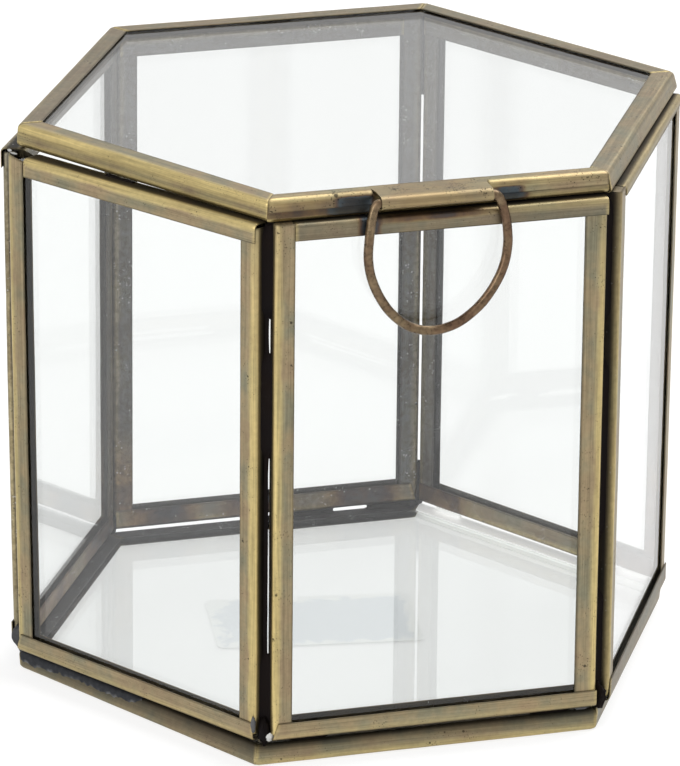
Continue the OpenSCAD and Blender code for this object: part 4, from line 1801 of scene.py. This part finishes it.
class CASKET_OT_stage(Operator):
    """Make the camera, the lamps, the floor and the white surroundings"""

    bl_idname = "casket.stage"
    bl_label = "Stage"

    def execute(self, context):
        stage = context.scene.casket_stage
        context.scene.view_settings.view_transform = "Standard"
        self.camera(context, stage)
        self.lamp(context, "Key lamp", (0.55, 0.25, 1.05), 0.05, 0.9, 0.9, stage.key_power)
        self.lamp(context, "Fill lamp", (-1.0, -0.55, 0.45), 0.06, 0.35, 1.0, stage.fill_power)
        self.floor(context, stage)
        self.surroundings(context, stage)
        return {"FINISHED"}

    def camera(self, context, stage):
        azimuth, elevation = stage.azimuth, stage.elevation
        flat = math.cos(elevation)
        back = Vector((math.sin(azimuth) * flat, -math.cos(azimuth) * flat, math.sin(elevation)))
        level = Vector((math.cos(azimuth), math.sin(azimuth), 0))
        upright = back.cross(level)
        right = math.cos(stage.roll) * level + math.sin(stage.roll) * upright
        up = back.cross(right)
        data = bpy.data.cameras.new("Camera")
        data.sensor_width = SENSOR_SIZE
        data.lens = stage.focal_length
        camera = bpy.data.objects.new("Camera", data)
        context.scene.collection.objects.link(camera)
        place = Vector(stage.aim) + back * stage.distance
        turn = Matrix((right, up, back)).transposed().to_4x4()
        camera.matrix_world = Matrix.Translation(place) @ turn
        context.scene.camera = camera

    def lamp(self, context, name, place, aim_height, width, height, power):
        """An area lamp, aimed at that height above the middle of the box."""
        data = bpy.data.lights.new(name, "AREA")
        data.shape = "RECTANGLE"
        data.size = width
        data.size_y = height
        data.energy = power
        lamp = bpy.data.objects.new(name, data)
        context.scene.collection.objects.link(lamp)
        lamp.location = place
        lamp.rotation_mode = "QUATERNION"
        way = Vector((0.0, 0.0, aim_height)) - Vector(place)
        lamp.rotation_quaternion = way.to_track_quat("-Z", "Y")

    def floor(self, context, stage):
        """A white floor that keeps the box's shadow, and can't be seen from below."""
        reach = 4.0
        level = -0.05 * MM
        corners = [(x * reach, y * reach, level) for x, y in ((-1, -1), (1, -1), (1, 1), (-1, 1))]
        mesh = bpy.data.meshes.new("Floor")
        mesh.from_pydata(corners, [], [(0, 1, 2, 3)])
        material, tree = new_material("White floor", WHITE)
        matt = shader_node(tree, "ShaderNodeBsdfDiffuse", {"Color": FLOOR_GREY})
        lift = shader_node(tree, "ShaderNodeEmission", {"Color": WHITE, "Strength": stage.floor_glow})
        bright = shader_node(tree, "ShaderNodeAddShader", {0: matt.outputs[0], 1: lift.outputs[0]})
        seen = self.seen_ray(tree)
        top = shader_node(tree, "ShaderNodeMixShader", {0: seen, 1: matt.outputs[0], 2: bright.outputs[0]})
        below = shader_node(tree, "ShaderNodeNewGeometry").outputs["Backfacing"]
        clear = shader_node(tree, "ShaderNodeBsdfTransparent")
        both = shader_node(tree, "ShaderNodeMixShader", {0: below, 1: top.outputs[0], 2: clear.outputs[0]})
        close_surface(tree, both.outputs[0])
        mesh.materials.append(material)
        floor = bpy.data.objects.new("Floor", mesh)
        context.scene.collection.objects.link(floor)

    def seen_ray(self, tree):
        """1 for rays from the camera, in a reflection or through glass."""
        path = shader_node(tree, "ShaderNodeLightPath").outputs
        mirrored = larger(tree, path["Is Glossy Ray"], path["Is Transmission Ray"])
        return larger(tree, path["Is Camera Ray"], mirrored)

    def surroundings(self, context, stage):
        """White where it is seen and a little greyer in reflections, but softer as a light."""
        world = bpy.data.worlds.new("White surroundings")
        world.use_nodes = True
        tree = world.node_tree
        tree.nodes.clear()
        soft = shader_node(tree, "ShaderNodeBackground", {"Color": WHITE, "Strength": stage.surroundings})
        glossy = shader_node(tree, "ShaderNodeLightPath").outputs["Is Glossy Ray"]
        strength = maths(tree, "SUBTRACT", 1.0, times(tree, glossy, 0.1))
        white = shader_node(tree, "ShaderNodeBackground", {"Color": WHITE, "Strength": strength})
        seen = self.seen_ray(tree)
        both = shader_node(tree, "ShaderNodeMixShader", {0: seen, 1: soft.outputs[0], 2: white.outputs[0]})
        shader_node(tree, "ShaderNodeOutputWorld", {"Surface": both.outputs[0]})
        context.scene.world = world


# ---- Sidebar and registration ----

STEPS = (
    CASKET_OT_stage,
    CASKET_OT_wall_strips,
    CASKET_OT_lid_strips,
    CASKET_OT_base_strips,
    CASKET_OT_panes,
    CASKET_OT_handle_strip,
    CASKET_OT_ring,
    CASKET_OT_hinge,
    CASKET_OT_solder,
    CASKET_OT_label,
)
SETTINGS = (
    ("casket_brass", CasketBrass),
    ("casket_glass", CasketGlass),
    ("casket_handle", CasketHandle),
    ("casket_stage", CasketStage),
)


class CASKET_PT_sidebar(Panel):
    """The box's settings and the buttons that make its pieces"""

    bl_label = "Glass Casket Box"
    bl_space_type = "VIEW_3D"
    bl_region_type = "UI"
    bl_category = "Casket"

    def draw(self, context):
        for step in STEPS:
            self.layout.operator(step.bl_idname)
        for name, group in SETTINGS:
            box = self.layout.box()
            box.label(text=group.__doc__)
            for setting in group.__annotations__:
                box.prop(getattr(context.scene, name), setting)


def register():
    for name, group in SETTINGS:
        bpy.utils.register_class(group)
        setattr(bpy.types.Scene, name, PointerProperty(type=group))
    for step in STEPS:
        bpy.utils.register_class(step)
    bpy.utils.register_class(CASKET_PT_sidebar)


def unregister():
    bpy.utils.unregister_class(CASKET_PT_sidebar)
    for step in reversed(STEPS):
        bpy.utils.unregister_class(step)
    for name, group in reversed(SETTINGS):
        delattr(bpy.types.Scene, name)
        bpy.utils.unregister_class(group)


def main():
    """Makes the stage and every piece."""
    register()
    for step in STEPS:
        group, name = step.bl_idname.split(".")
        getattr(getattr(bpy.ops, group), name)()


if __name__ == "__main__":
    main()
